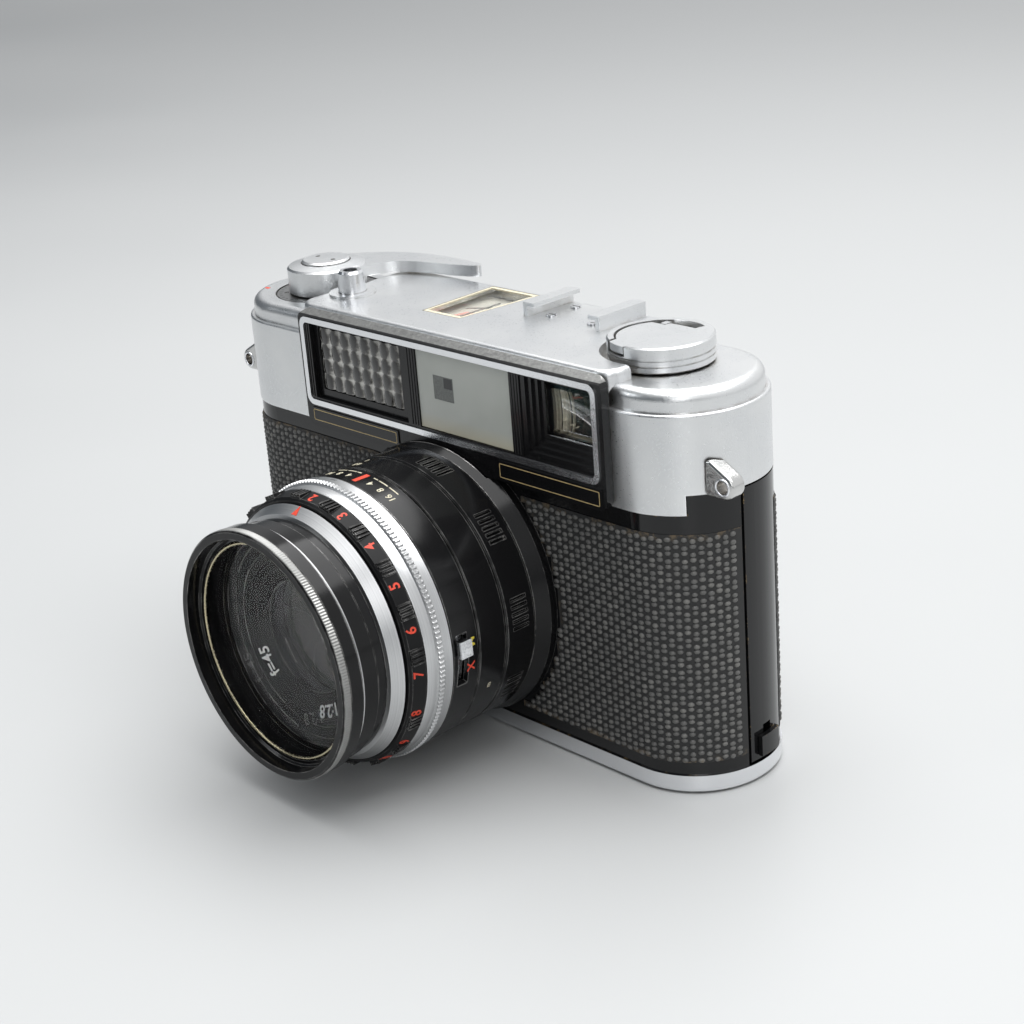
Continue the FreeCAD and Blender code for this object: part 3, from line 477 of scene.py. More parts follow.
def turned_silver(name, rough=0.24):
    """Plated ring with the lathe's fine lines running round it."""
    m = Shader(name, Metallic=1.0)
    lines = m.rings(LENS_CENTRE, (X, Z))
    blotch = m.noise(150, detail=5)
    worn = m.edges(0.0003, 5.0)
    colour = m.ramp(lines, (0.3, (0.46, 0.465, 0.47)), (0.7, (0.62, 0.625, 0.63)))
    # Painted shade: corners found by ambient occlusion are darkened almost to black.
    colour = m.mix(m.times(m.hollows(0.0008), 0.8), colour, (0.10, 0.095, 0.09))
    colour = m.mix(m.times(worn, 0.5), colour, (0.95, 0.95, 0.95))
    m.set("Base Color", colour)
    m.set("Roughness", m.plus(m.spread(lines, rough, rough + 0.10), m.times(blotch, 0.08)))
    m.bump(lines, 0.00001, 0.5)
    return m.material


def anodised(name, shade=0.005, rough=0.13, wear=1.0, shine=0.24):
    """Black anodised ring: turning lines, dust, and bare metal where the edges are rubbed."""
    m = Shader(name, Specular_IOR_Level=shine)
    grooves = m.rings(LENS_CENTRE, (X, Z))
    patch = m.noise(260, detail=6, roughness=0.6)
    rubbed = m.times(m.edges(0.00028, 4.0), m.ramp(patch, (0.44, 0.12), (0.60, 1.0)))
    bare = m.times(rubbed, wear)
    dust = m.specks(1900, 0.66, 0.74)
    black = m.mix(m.times(patch, 0.6), (shade, shade, shade * 1.08), (shade * 1.8, shade * 1.8, shade * 1.9))
    black = m.mix(m.times(dust, 0.07), black, (0.35, 0.34, 0.32))
    m.set("Base Color", m.mix(bare, black, (0.62, 0.61, 0.59)))
    m.set("Metallic", m.times(bare, 0.9))
    m.set("Roughness", m.plus(m.spread(grooves, rough, rough + 0.08), m.times(dust, 0.2)))
    m.bump(grooves, 0.00001, 0.3)
    return m.material


def enamel(name, shade=0.005, chips=1.0):
    """Glossy baked enamel, slightly rippled, with brass showing in small chips."""
    m = Shader(name, Specular_IOR_Level=0.34, Coat_Weight=0.15, Coat_Roughness=0.05)
    ripple = m.noise(900, detail=2)
    chip = m.specks(620, 0.58, 0.64, detail=7)
    bare = m.times(m.times(m.edges(0.0005, 5.0), chip), chips)
    dust = m.specks(2300, 0.68, 0.76, roughness=0.8)
    black = m.mix(m.times(dust, 0.08), (shade, shade, shade * 1.1), (0.30, 0.28, 0.25))
    m.set("Base Color", m.mix(bare, black, (0.55, 0.38, 0.18)))
    m.set("Metallic", m.times(bare, 0.8))
    m.set("Roughness", m.plus(m.spread(ripple, 0.09, 0.15), m.times(dust, 0.3)))
    m.bump(ripple, 0.00002, 0.25)
    return m.material


def bezel_plastic(name):
    """Black moulding; its sloping upper lip is plated, pitted and dusty."""
    m = Shader(name, Specular_IOR_Level=0.4)
    facing = m.split(m.node("ShaderNodeNewGeometry").outputs["True Normal"])[Z]
    lip = m.times(m.range(facing, 0.25, 0.4), m.range(m.split(m.place)[Z], 0.07990, 0.07998))
    streak = m.noise(1200, detail=6, roughness=0.75)
    pits = m.ramp(streak, (0.62, 0.0), (0.70, 1.0))
    black = m.mix(m.times(pits, 0.12), (0.006, 0.006, 0.0065), (0.30, 0.29, 0.27))
    dull = m.ramp(streak, (0.35, (0.20, 0.20, 0.195)), (0.6, (0.33, 0.33, 0.32)))
    plate = m.mix(pits, dull, (0.62, 0.61, 0.58))
    m.set("Base Color", m.mix(lip, black, plate))
    m.set("Metallic", m.times(lip, 0.85))
    m.set("Roughness", m.plus(m.spread(streak, 0.14, 0.26), m.times(lip, 0.16)))
    m.bump(streak, 0.00002, 0.3)
    return m.material


def leatherette_material(name):
    """Black embossed cloth-pattern skin: matt between the beads, rubbed shiny on top; tops painted lighter
    as rubbing and painted highlight, gaps near black as painted shade.
    """
    m = Shader(name, Specular_IOR_Level=0.6)
    rise = m.attribute("rise")
    tone = m.attribute("tone")
    fuzz = m.noise(2600, detail=5)
    stain = m.attribute("edge")
    # Painted light: lighter bead tops are part rubbing, part painted highlight; the dark sheet between beads
    # is painted shade.
    high = m.ramp(rise, (0.0, 0.0), (0.7, 1.0))
    base = m.mix(high, (0.014, 0.014, 0.014), (0.092, 0.091, 0.087))
    base = m.mix(m.times(m.times(tone, high), 0.5), base, (0.20, 0.195, 0.18))
    glue = m.specks(480, 0.50, 0.60, detail=7)
    base = m.mix(m.times(stain, glue), base, (0.13, 0.095, 0.055))
    m.set("Base Color", base)
    m.set("Roughness", m.plus(m.range(rise, 0.1, 1.0, 0.62, 0.27), m.times(fuzz, 0.12)))
    m.bump(fuzz, 0.00003, 0.4)
    return m.material


def clear(name, tint=(0.93, 0.96, 0.95), film=0.0, body=0.4, shine=0.5):
    """Glass or clear moulding with a trace of dust; film is a coating in nanometres, body its opacity."""
    m = Shader(name, Transmission_Weight=1.0, IOR=1.5, Thin_Film_Thickness=film, Thin_Film_IOR=1.38,
               Alpha=body, Specular_IOR_Level=shine)
    dust = m.specks(1300, 0.64, 0.72, detail=7, roughness=0.8)
    m.set("Base Color", m.mix(m.times(dust, 0.2), tint, (0.7, 0.7, 0.68)))
    m.set("Roughness", m.times(dust, 0.10))
    return m.material


def lenslet_material(name):
    """Moulded lenses with painted light: near black in the middle, painted as the cell seen through them,
    with painted highlights towards their sides, brighter on the left and top.
    """
    m = Shader(name, Coat_Weight=0.6, Coat_Roughness=0.04)
    flank_highlight = m.attribute("flank_highlight")
    swirl = m.noise(900, detail=3)
    bent = m.plus(flank_highlight, m.spread(swirl, -0.14, 0.14))
    colour = m.ramp(bent, (0.30, (0.012, 0.011, 0.010)), (0.50, (0.12, 0.115, 0.105)),
                    (0.68, (0.50, 0.49, 0.46)), (1.0, (0.80, 0.79, 0.76)))
    m.set("Base Color", colour)
    m.set("Roughness", m.spread(swirl, 0.10, 0.22))
    m.bump(swirl, 0.00006, 0.3)
    return m.material


def frosted_material(name):
    m = Shader(name, Coat_Weight=0.4, Coat_Roughness=0.12)
    haze = m.noise(55, detail=3)
    grain = m.noise(7000, detail=2)
    edge = m.range(m.split(m.place)[Z], 0.0622, 0.0655)
    pale = m.mix(m.range(haze, 0.35, 0.65), (0.40, 0.42, 0.385), (0.475, 0.49, 0.455))
    m.set("Base Color", m.mix(edge, (0.50, 0.47, 0.36), pale))
    m.set("Roughness", m.spread(grain, 0.36, 0.5))
    m.bump(grain, 0.00001, 0.3)
    return m.material


def metal(name, colour, rough=0.3, axis=None):
    """Plain machined metal; axis is the centre of its turning lines, if it is round."""
    m = Shader(name, Metallic=1.0)
    marks = m.rings(axis, (X, Y)) if axis else m.noise(2400, detail=4)
    cloud = m.noise(200, detail=4)
    dark = tuple(c * 0.72 for c in colour)
    # Painted shade: corners found by ambient occlusion are darkened dark brown.
    m.set("Base Color", m.mix(m.times(m.hollows(), 0.6), m.mix(cloud, dark, colour), (0.08, 0.07, 0.05)))
    m.set("Roughness", m.spread(marks, rough - 0.05, rough + 0.1))
    m.bump(marks, 0.00001, 0.4)
    return m.material


def matt_black(name, shade=0.02, rough=0.6):
    m = Shader(name)
    grain = m.noise(3800, detail=4)
    dust = m.specks(1500, 0.62, 0.74)
    base = m.mix(grain, (shade * 0.7, shade * 0.7, shade * 0.75), (shade * 1.5, shade * 1.5, shade * 1.55))
    m.set("Base Color", m.mix(m.times(dust, 0.15), base, (0.3, 0.29, 0.27)))
    m.set("Roughness", m.spread(grain, rough - 0.08, rough + 0.1))
    m.bump(grain, 0.00002, 0.4)
    return m.material


def filled(name, colour):
    """Paint in engraved marks, a little uneven and chipped."""
    m = Shader(name)
    patch = m.noise(2500, detail=6, roughness=0.7)
    dull = tuple(c * 0.55 for c in colour)
    m.set("Base Color", m.mix(m.ramp(patch, (0.35, 0.0), (0.6, 1.0)), dull, tuple(c * 0.9 for c in colour)))
    m.set("Roughness", m.spread(patch, 0.4, 0.6))
    return m.material


WIND_CENTRE = (sum(span("frame_counter_dial", X)) / 2 * MM, 0.0, 0.0)
materials = {
    "red": filled("mark_red", (0.85, 0.07, 0.03)),
    "cream": filled("mark_cream", (0.80, 0.74, 0.56)),
    "white": filled("mark_white", (0.82, 0.82, 0.80)),
    "yellow": filled("mark_yellow", (0.80, 0.66, 0.05)),
    "gold_line": filled("mark_gold", (0.62, 0.47, 0.22)),
    "black": filled("mark_black", (0.02, 0.02, 0.02)),
    "patch": filled("patch_grey", (0.20, 0.21, 0.20)),
    "stripe": filled("stripe_red", (0.78, 0.36, 0.30)),
    "satin": satin_chrome("satin_chrome"),
    "bright": bright_chrome("bright_chrome"),
    # Darker chrome for the lugs, with heavier painted shade in their hollows.
    "lug": bright_chrome("lug_chrome", tint=(0.62, 0.62, 0.61), rough=0.17, hollow=0.0025, shade_and_dirt_strength=0.95),
    "silver": turned_silver("turned_silver"),
    "enamel": enamel("black_enamel"),
    "ring_black": anodised("ring_black"),
    "ring_gloss": anodised("ring_gloss", shade=0.004, rough=0.09, wear=0.8),
    "ring_matt": anodised("ring_matt", shade=0.006, rough=0.30, wear=0.5, shine=0.16),
    "name_black": anodised("name_black", shade=0.003, rough=0.22, wear=0.2, shine=0.08),
    "bezel": bezel_plastic("bezel_black"),
    "plate": enamel("plate_black", chips=0.0),
    "leatherette": leatherette_material("leatherette"),
    "glass": clear("clear_glass"),
    # Dark tint: painted shade that darkens the lens insides seen through this glass.
    "coated_shaded": clear("coated_glass", tint=(0.10, 0.09, 0.11), body=0.5, shine=0.03),
    "filter": clear("filter_glass", body=0.05, shine=0.04),
    "window": clear("window_glass", body=0.12),
    "finder": clear("finder_glass", film=420.0, tint=(0.8, 0.8, 0.82), body=0.3, shine=0.6),
    "lenslets": lenslet_material("lenslet_moulding"),
    "frosted": frosted_material("frosted_pane"),
    "brass": metal("brass", (0.72, 0.55, 0.28), 0.25),
    "gold": metal("gold_ring", (0.60, 0.53, 0.36), 0.22),
    "steel": metal("steel", (0.56, 0.57, 0.58), 0.3),
    "knurl": metal("worn_knurl", (0.36, 0.36, 0.35), 0.34),
    "blade": metal("blade_steel", (0.10, 0.10, 0.115), 0.35),
    "dial": metal("dial_grey", (0.30, 0.30, 0.30), 0.32, WIND_CENTRE),
    "matt": matt_black("matt_black"),
    "cell": matt_black("selenium_cell", shade=0.035, rough=0.35),
    "scale_plate": filled("scale_plate", (0.62, 0.60, 0.52)),
}

node_materials = {
    "satin": ["top_cover", "wind_lever", "wind_shaft", "rewind_knob", "rewind_crank", "accessory_shoe"],
    "lug": ["strap_lugs"],
    "bright": ["base_plate", "shutter_button", "cover_screws", "sync_lever",
               "rewind_release_button", "bezel_trim"],
    "silver": ["speed_ring", "front_trim_ring"],
    "enamel": ["chassis", "back_door", "door_latch"],
    "leatherette": ["front_leatherette", "back_leatherette"],
    "ring_black": ["focus_ring", "depth_scale_ring", "lens_mount_plate", "shutter_housing"],
    "ring_gloss": ["front_barrel", "filter_ring"],
    "ring_matt": ["aperture_ring"],
    "name_black": ["name_ring"],
    "bezel": ["bezel_moulding"],
    "plate": ["nameplates"],
    "glass": ["eyepiece_lens", "viewfinder_lens"],
    "window": ["meter_window"],
    "coated_shaded": ["front_glass", "rear_glass", "beam_splitter"],
    "filter": ["filter_glass"],
    "lenslets": ["meter_lens_grid"],
    "frosted": ["frosted_window"],
    "brass": ["helicoid_tube", "tripod_bush"],
    "steel": ["film_gate", "hinge_pin", "film_sprocket", "rewind_shaft", "rewind_sleeve", "pressure_spring",
              "meter_needle"],
    "blade": ["shutter_blades"] + ["iris_blade_%d" % i for i in range(1, 6)],
    "dial": ["frame_counter_dial"],
    "matt": ["pressure_plate", "take_up_spool", "viewfinder_box"],
    "cell": ["selenium_cell"],
    "scale_plate": ["meter_scale"],
}


def dress_nodes():
    """Give every CAD node its material."""
    for key, nodes in node_materials.items():
        for node in nodes:
            obj = frame["nodes"][node]
            obj.data.materials.clear()
            obj.data.materials.append(materials[key])


# ---- leatherette --------------------------------------------------------
PITCH_S, PITCH_Z = 1.55, 1.30   # bead spacing round the body and up it
ZIGZAG = 0.16                   # every second bead sits this much higher
BEAD_W, BEAD_H = 0.74, 0.56     # half width and half height of a bead
BEAD_RISE = 0.36                # a bead's height above the sheet
SKIN_BACK = 0.55                # depth of the sheet's inner face below the beads' tops
SHEET_CELL = 1.2                # the sheet's squares
STAIN = 1.3                     # how far glue shows in from the rim
CORNER = 16.0                   # the body's corner radius


class Wrap:
    """The body's outline as a path: distance s from the middle of one side, and depth below the surface."""

    def __init__(self, side, turn_end):
        self.half_d = -corners("front_leatherette")[0][Y]
        self.side = side
        self.flat = span("back_leatherette", X)[1] - CORNER
        self.end = self.flat + CORNER * math.radians(turn_end)

    def at(self, s, depth):
        if abs(s) <= self.flat:
            return s, self.side * (self.half_d - depth)
        angle = (abs(s) - self.flat) / CORNER
        r = CORNER - depth
        x = self.flat + r * math.sin(angle)
        return math.copysign(x, s), self.side * (self.half_d - CORNER + r * math.cos(angle))


def bead(segments=8):
    """One rounded bead as (du, dw, rise 0..1) points, base first, and its faces."""
    rings = ((1.0, -0.25), (0.84, 0.42), (0.46, 0.86))
    around = [2 * math.pi * (i + 0.5) / segments for i in range(segments)]
    points = [(scale * math.cos(a), scale * math.sin(a), rise) for scale, rise in rings for a in around]
    points.append((0, 0, 1.0))
    faces = [tuple(reversed(range(segments)))]
    last = (len(rings) - 1) * segments
    for i in range(segments):
        n = (i + 1) % segments
        faces += [(a + i, a + n, a + segments + n, a + segments + i) for a in range(0, last, segments)]
        faces.append((last + i, last + n, len(points) - 1))
    return points, faces


def leatherette(name, node, body, path, allowed, rim_distance):
    """Sheet with beads. allowed(x, y, z, margin) says where it lies, rim_distance how far from its edge."""
    rng = random.Random(7)
    z0, z1 = span(node, Z)
    sheet, rises, tones, stains = Solid(), [], [], []

    def record(points, rise, tone):
        rises.extend(rise)
        tones.extend([tone] * len(points))
        stains.extend(max(0.0, 1.0 - rim_distance(*p) / STAIN) for p in points)

    columns, rows = int(2 * path.end / SHEET_CELL), int((z1 - z0) / SHEET_CELL)

    def place(c, r, depth):
        return *path.at(-path.end + 2 * path.end * c / columns, depth), z0 + (z1 - z0) * r / rows

    def ring(c, r):
        return (c, r), (c + 1, r), (c + 1, r + 1), (c, r + 1)

    squares = [(c, r) for c in range(columns) for r in range(rows)]
    covered = dict.fromkeys(q for q in squares if all(allowed(*place(*p, BEAD_RISE), 0.0) for p in ring(*q)))
    index = {}

    def vertex(*key):
        if key not in index:
            index[key] = len(sheet.points)
            sheet.points.append(place(*key))
            record(sheet.points[-1:], [0.0], 0.0)
        return index[key]

    for c, r in covered:
        around = ring(c, r)
        sheet.faces.append(tuple(vertex(*q, BEAD_RISE) for q in around))
        sheet.faces.append(tuple(vertex(*q, SKIN_BACK) for q in reversed(around)))
        for k, (dc, dr) in enumerate(((0, -1), (1, 0), (0, 1), (-1, 0))):
            if (c + dc, r + dr) not in covered:
                a, b = around[k], around[(k + 1) % 4]
                sheet.faces.append((vertex(*b, BEAD_RISE), vertex(*a, BEAD_RISE),
                                    vertex(*a, SKIN_BACK), vertex(*b, SKIN_BACK)))
    shape, faces = bead()
    last = int(path.end / PITCH_S)
    for i in range(-last, last + 1):
        for j in range(int((z1 - z0) / PITCH_Z)):
            s = i * PITCH_S
            z = z0 + PITCH_Z * (j + 0.5) + (ZIGZAG if (i + j) % 2 else -ZIGZAG)
            if abs(s) + BEAD_W > path.end or not allowed(*path.at(s, 0), z, BEAD_W):
                continue
            w = BEAD_W * rng.uniform(0.90, 1.06)
            h = BEAD_H * rng.uniform(0.90, 1.06)
            top = rng.uniform(0.86, 1.0)
            placed = [(*path.at(s + du * w, BEAD_RISE * (1 - rise * top)), z + dw * h)
                      for du, dw, rise in shape]
            sheet.add(placed, faces)
            record(placed, [max(0.0, p[2]) for p in shape], rng.random() ** 3)
    obj = sheet.make(name, "leatherette", body, "leatherette")
    for key, values in (("rise", rises), ("tone", tones), ("edge", stains)):
        obj.data.attributes.new(key, "FLOAT", "POINT").data.foreach_set("value", values)
    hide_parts(node)


def make_leatherettes():
    front_z, back_z = span("front_leatherette", Z), span("back_leatherette", Z)
    mount_r = radius("lens_mount_plate")
    hinge_x, hinge_y = -60.0, -7.0
    latch_x, latch_y, latch_z = 60.0, 8.5, 12.4
    inner = 9.0                 # anywhere this far from the rim counts as the middle

    def front_ok(x, y, z, margin):
        clear_of_lens = math.hypot(x - LENS_X, z - LENS_Z) > mount_r + 0.1 + margin
        return clear_of_lens and not (x < hinge_x and y > hinge_y - margin)

    def back_ok(x, y, z, margin):
        return not (x > latch_x - margin and y < latch_y + margin and z < latch_z + margin)

    def front_rim(x, y, z):
        return min(z - front_z[0], front_z[1] - z, abs(math.hypot(x - LENS_X, z - LENS_Z) - mount_r), inner)

    def back_rim(x, y, z):
        return min(z - back_z[0], back_z[1] - z, inner)

    leatherette("front_grain", "front_leatherette", "camera_body", Wrap(-1, 79.6), front_ok, front_rim)
    leatherette("back_grain", "back_leatherette", "back_door", Wrap(1, 58), back_ok, back_rim)


# ---- meter window of small lenses ---------------------------------------
def make_lenslets():
    low, high = corners("meter_lens_grid")
    face = low[Y] + 1.0
    back = face + 0.6
    x0, x1, z0, z1 = low[X] + 1.5, high[X] - 2.4, low[Z] + 1.9, high[Z] - 0.8
    columns, rows, cuts = 8, 4, 12
    block = Solid(prism(rounded_rectangle(low[X], high[X], low[Z], high[Z], 0.4), back, high[Y], FRONTAL))
    flank_highlights = [0.0] * len(block.points)
    pitch_x, pitch_z = (x1 - x0) / columns, (z1 - z0) / rows
    quads, rim = net(cuts)
    start, size = (cuts + 1) ** 2, len(rim)
    walls = [(rim[i], rim[(i + 1) % size], start + (i + 1) % size, start + i) for i in range(size)]
    ticks = [2 * i / cuts - 1 for i in range(cuts + 1)]
    for c in range(columns):
        for r in range(rows):
            points = []
            for u in ticks:
                for w in ticks:
                    bulge = 0.95 * math.sqrt(max(0.0, 1 - 0.72 * u * u - 0.22 * w * w))
                    points.append((x0 + pitch_x * (c + (u + 1) / 2), face + 0.35 - bulge,
                                   z0 + pitch_z * (r + (w + 1) / 2)))
                    # Painted highlight on each lens: brighter towards its sides and towards the left and
                    # top.
                    flank_highlights.append(0.74 * abs(u) ** 1.5 + 0.34 * abs(w) ** 1.8 - 0.14 * u + 0.05 * w)
            points += [(points[i][0], back, points[i][2]) for i in rim]
            flank_highlights += [0.0] * size
            block.add(points, quads + walls + [tuple(range(start, start + size))])
    obj = block.make("meter_lenslets", "lenslets", "camera_body", "clear_glass")
    obj.data.attributes.new("flank_highlight", "FLOAT", "POINT").data.foreach_set("value", flank_highlights)
    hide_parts("meter_lens_grid")
    outer = rounded_rectangle(low[X], high[X], low[Z], high[Z], 0.3)
    inner = rounded_rectangle(x0 - 0.2, x1 + 0.2, z0 - 0.2, z1 + 0.2, 0.5)
    surround = Solid(outline_frame(outer, inner, face - 0.5, face + 0.5, FRONTAL))
    surround.make("meter_surround", "bezel", "camera_body", "bezel_black")


# ---- bezel and finder ---------------------------------------------------
def make_bezel_details():
    front = span("bezel_moulding", Y)[0]
    meter0, meter1 = span("meter_lens_grid", X)
    frost1 = span("frosted_window", X)[1]
    z0, z1 = span("frosted_window", Z)
    places = (meter0 - 1.5, meter0 - 0.8, meter1 + 1.4, meter1 + 2.2, meter1 + 3.0,
              frost1 + 0.6, frost1 + 1.35, frost1 + 2.1)
    crisp("bezel_ribs", "bezel", "camera_body", "bezel_black",
          *[bevelled_box(x - 0.16, x + 0.16, front - 0.14, front + 0.2, z0, z1, 0.05) for x in places])

    # stepped baffle round the viewfinder lens: wide on the left and below
    low, high = corners("viewfinder_lens")
    out = (frost1 + 2.9, span("bezel_trim", X)[1] - 1.35, z0 - 0.05, z1 + 0.05)
    inner = (low[X] + 1.0, high[X] - 0.4, low[Z] + 0.9, high[Z] + 0.6)
    steps, shallow, deep = 4, front + 0.25, low[Y] - 0.05
    levels = [shallow + (deep - shallow) * i / steps for i in range(steps + 1)]
    loops = [(out, shallow)]
    for i in range(1, steps + 1):
        box = [a + (b - a) * i / steps for a, b in zip(out, inner)]
        loops += [(box, levels[i - 1]), (box, levels[i])]
    loops += [(inner, deep + 0.1), (out, deep + 0.1)]
    rings = [[(a, y, c), (b, y, c), (b, y, d), (a, y, d)] for (a, b, c, d), y in loops]
    crisp("finder_baffle", "bezel", "camera_body", "bezel_black", loft(rings))

    # rangefinder patch in the frosted pane
    pane = span("frosted_window", Y)[0]
    crisp("rangefinder_patch", "patch", "camera_body", "frosted",
          bevelled_box(3.8, 9.5, pane - 0.05, pane + 0.3, 68.8, 73.7, 0.04))
    crisp("rangefinder_spot", "cell", "camera_body", "bezel_black",
          bevelled_box(6.9, 9.3, pane - 0.09, pane + 0.2, 71.4, 73.5, 0.03))

    # thin gold line round each blank nameplate
    y, line = span("nameplates", Y)[0], 0.16
    lines = []
    for x0, x1, z0, z1 in ((-35.3, -8.5, 57.1, 59.5), (21.6, 48.0, 56.5, 59.4)):
        outer = rounded_rectangle(x0, x1, z0, z1, 0.3)
        hole = rounded_rectangle(x0 + line, x1 - line, z0 + line, z1 - line, 0.2)
        lines.append(outline_frame(outer, hole, y - LIFT, y + LIFT, FRONTAL))
    crisp("nameplate_lines", "gold_line", "camera_body", "bezel_black", *lines)


def make_finder_glass():
    """The viewfinder's front lens, bulging, with painted reflections of bright edges seen through it."""
    low, high = corners("viewfinder_lens")
    cuts, crown = 14, 0.9
    ticks = [i / cuts for i in range(cuts + 1)]
    points = []
    for front in (True, False):
        for i in ticks:
            for k in ticks:
                u, w = 2 * i - 1, 2 * k - 1
                y = low[Y] + crown * (u * u + w * w) / 2 if front else high[Y]
                points.append((low[X] + (high[X] - low[X]) * i, y, low[Z] + (high[Z] - low[Z]) * k))
    quads, rim = net(cuts)
    size = (cuts + 1) ** 2
    faces = quads + [tuple(size + i for i in quad) for quad in quads]
    faces += [(a, b, size + b, size + a) for a, b in zip(rim, rim[1:] + rim[:1])]
    obj = Solid((points, faces)).make("finder_glass", "finder", "camera_body", "clear_glass")
    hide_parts("viewfinder_lens")

    # curved cream bands behind the glass and a cream strip along the bottom: painted reflections of the
    # curved polished edges of the finder's mirror frame
    behind = (high[Y] + 0.1, high[Y] + 0.5, FRONTAL)
    middle, tall = (low[Z] + high[Z]) / 2, (high[Z] - low[Z]) / 2 - 0.9
    bands = []
    for i, (start, wide) in enumerate(((1.0, 0.9), (2.3, 0.45), (3.1, 0.9), (4.5, 0.3))):
        arc = []
        for k in range(9):
            w = k / 4 - 1
            bow = 1.3 * (w * w - 1) * (0.4 + 0.15 * i)
            arc.append((low[X] + start + 0.6 - bow * 0.8, middle + tall * w))
        outline = [(x - wide / 2, z) for x, z in arc] + [(x + wide / 2, z) for x, z in arc[::-1]]
        bands.append(prism(outline, *behind))
    x0, x1, z0 = low[X] + 1.0, high[X] - 1.0, low[Z] + 0.9
    bands.append(prism([(x0, z0), (x1, z0), (x1, z0 + 0.35), (x0, z0 + 0.7)], *behind))
    crisp("finder_edge_reflections", "cream", "camera_body", "steel", *bands)
    crisp("finder_rim", "bright", "camera_body", "bright_chrome",
          bevelled_box(low[X] + 0.2, high[X] - 0.2, low[Y] - 0.25, low[Y] + 0.1,
                       low[Z] + 0.5, low[Z] + 1.0, 0.06))


# ---- meter readout in the top cover -------------------------------------
def make_readout():
    x0, x1 = span("meter_window", X)
    y0, y1 = span("meter_window", Y)
    top = span("meter_window", Z)[1]
    plate_z = span("meter_scale", Z)[1]
    window = [(x0 + 1.2, y0), (x1 - 1.7, y0), (x1, y1), (x0, y1)]
    cx, cy = (x0 + x1) / 2, (y0 + y1) / 2

    def shrunk(scale):
        return [(cx + (x - cx) * scale, cy + (y - cy) * scale) for x, y in window]

    crisp("readout_border", "cream", "camera_body", "frosted",
          outline_frame(shrunk(0.99), shrunk(0.90), top - 0.3, top + 0.04))
    printed = (plate_z - 0.03, plate_z + 0.05)
    front, back = y0 + 2.5, y0 + 9.5
    lefts = [x0 + 2.2 + 1.75 * i for i in range(6)]     # six slanting stripes
    crisp("readout_stripes", "stripe", "camera_body", "frosted",
          *[prism([(x, front), (x + 0.85, front), (x + 2.6, back), (x + 1.5, back)], *printed)
            for x in lefts])
    steps = [i / 8 for i in range(9)]
    arc = [(x0 + 1.6 + 9.8 * t, y0 + 11.0 + 3.4 * math.sin(math.pi * t * 0.6)) for t in steps]
    upper = [(x, y + 0.5 + 1.2 * t) for t, (x, y) in zip(steps, arc)]
    crisp("readout_wedge", "black", "camera_body", "bezel_black", prism(arc + upper[::-1], *printed))


# ---- lens marks ---------------------------------------------------------
def make_lens_marks():
    """Figures on the rings, whose slopes are cones through two (radius, y) points."""
    ring = cone(27.40, -48.2, 26.8, -50.8)
    crisp("aperture_numbers", "red", "aperture_ring", "black_anodised",
          *[wrap(glyphs(str(i + 2), 2.8, 0.05), 88.3 - 18.3 * i, -49.5, ring) for i in range(12)])

    low, tip, wide = -0.75, 1.15, 0.75
    triangle = [(u, -v, h) for h in (-LIFT, LIFT + 0.01) for u, v in ((-wide, low), (wide, low), (0.0, tip))]
    faces = [(0, 2, 1), (3, 4, 5), (0, 1, 4, 3), (1, 2, 5, 4), (2, 0, 3, 5)]
    trim = cone(25.8, -51.8, 24.4, -54.0)
    crisp("index_triangle", "red", "lens_unit", "silver_ring", wrap((triangle, faces), 90.5, -52.8, trim))

    depth_r, index = 27.84, 86.5
    depth = cone(depth_r, -36, depth_r, -41)
    crisp("depth_index", "red", "lens_unit", "black_anodised",
          wrap(bar(-0.55, 0.55, -1.85, 1.85), index, -38.55, depth),
          wrap(glyphs("X", 2.5, 0.05), -9.0, -37.3, depth))
    scale = []
    for side in (1, -1):
        for text, offset in (("4", 6.4), ("8", 12.5), ("16", 18.6)):
            scale.append(wrap(glyphs(text, 2.1, 0.02), index - side * offset, -38.8, depth))
        for start, end in ((3.8, 6.2), (6.9, 12.0), (13.0, 18.4)):
            middle = -side * math.radians((start + end) / 2) * depth_r
            half = math.radians(end - start) / 2 * depth_r
            scale.append(wrap(bar(middle - half, middle + half, -1.85, -1.6, 6), index, -38.6, depth))
    crisp("depth_scale", "cream", "lens_unit", "black_anodised", *scale)
    crisp("sync_mark", "yellow", "lens_unit", "black_anodised",
          wrap(glyphs("M", 2.5, 0.05), 1.3, -37.1, depth))

    grip = cone(27.8, -28, 27.8, -35)
    distances = []
    for i, text in enumerate(("0.8", "1", "1.2", "1.5", "2", "3", "5", "10")):
        distances += [wrap(glyphs(text, 1.9), 104.0 + 15.0 * i, -32.6, grip),
                      wrap(bar(-0.1, 0.1, -0.6, 0.6), 104.0 + 15.0 * i, -30.2, grip)]
    crisp("distance_scale", "cream", "focus_ring", "black_anodised",
          *distances, wrap(glyphs("m", 1.7), -23.5, -31.8, grip))

    band = cone(28.1, -42.2, 27.8, -43.5)
    speeds = ("500", "250", "125", "60", "30", "15", "8", "4", "2", "1")
    crisp("speed_numbers", "black", "speed_ring", "silver_ring",
          *[wrap(glyphs(text, 1.15), 93.0 + 11.0 * i, -42.8, band) for i, text in enumerate(speeds)])

    # white figures on the name ring's slope read clockwise with their tops outwards
    figures_r, rim_r, rim_y, slope = 14.6, 17.2, -56.0, 1.8 / 5.8
    figures = []
    for text, start in (("1:2.8", 294.0), ("f=45", 214.0)):
        points, faces = glyphs(text, 3.4, 0.04)
        made = []
        for u, v, h in points:
            r = figures_r + v
            y = rim_y + (rim_r - r) * slope - LIFT / 2 - h
            made.append(on_lens(r, start - math.degrees(u / figures_r), y))
        figures.append((made, faces))
    crisp("lens_figures", "white", "lens_unit", "black_anodised", *figures)


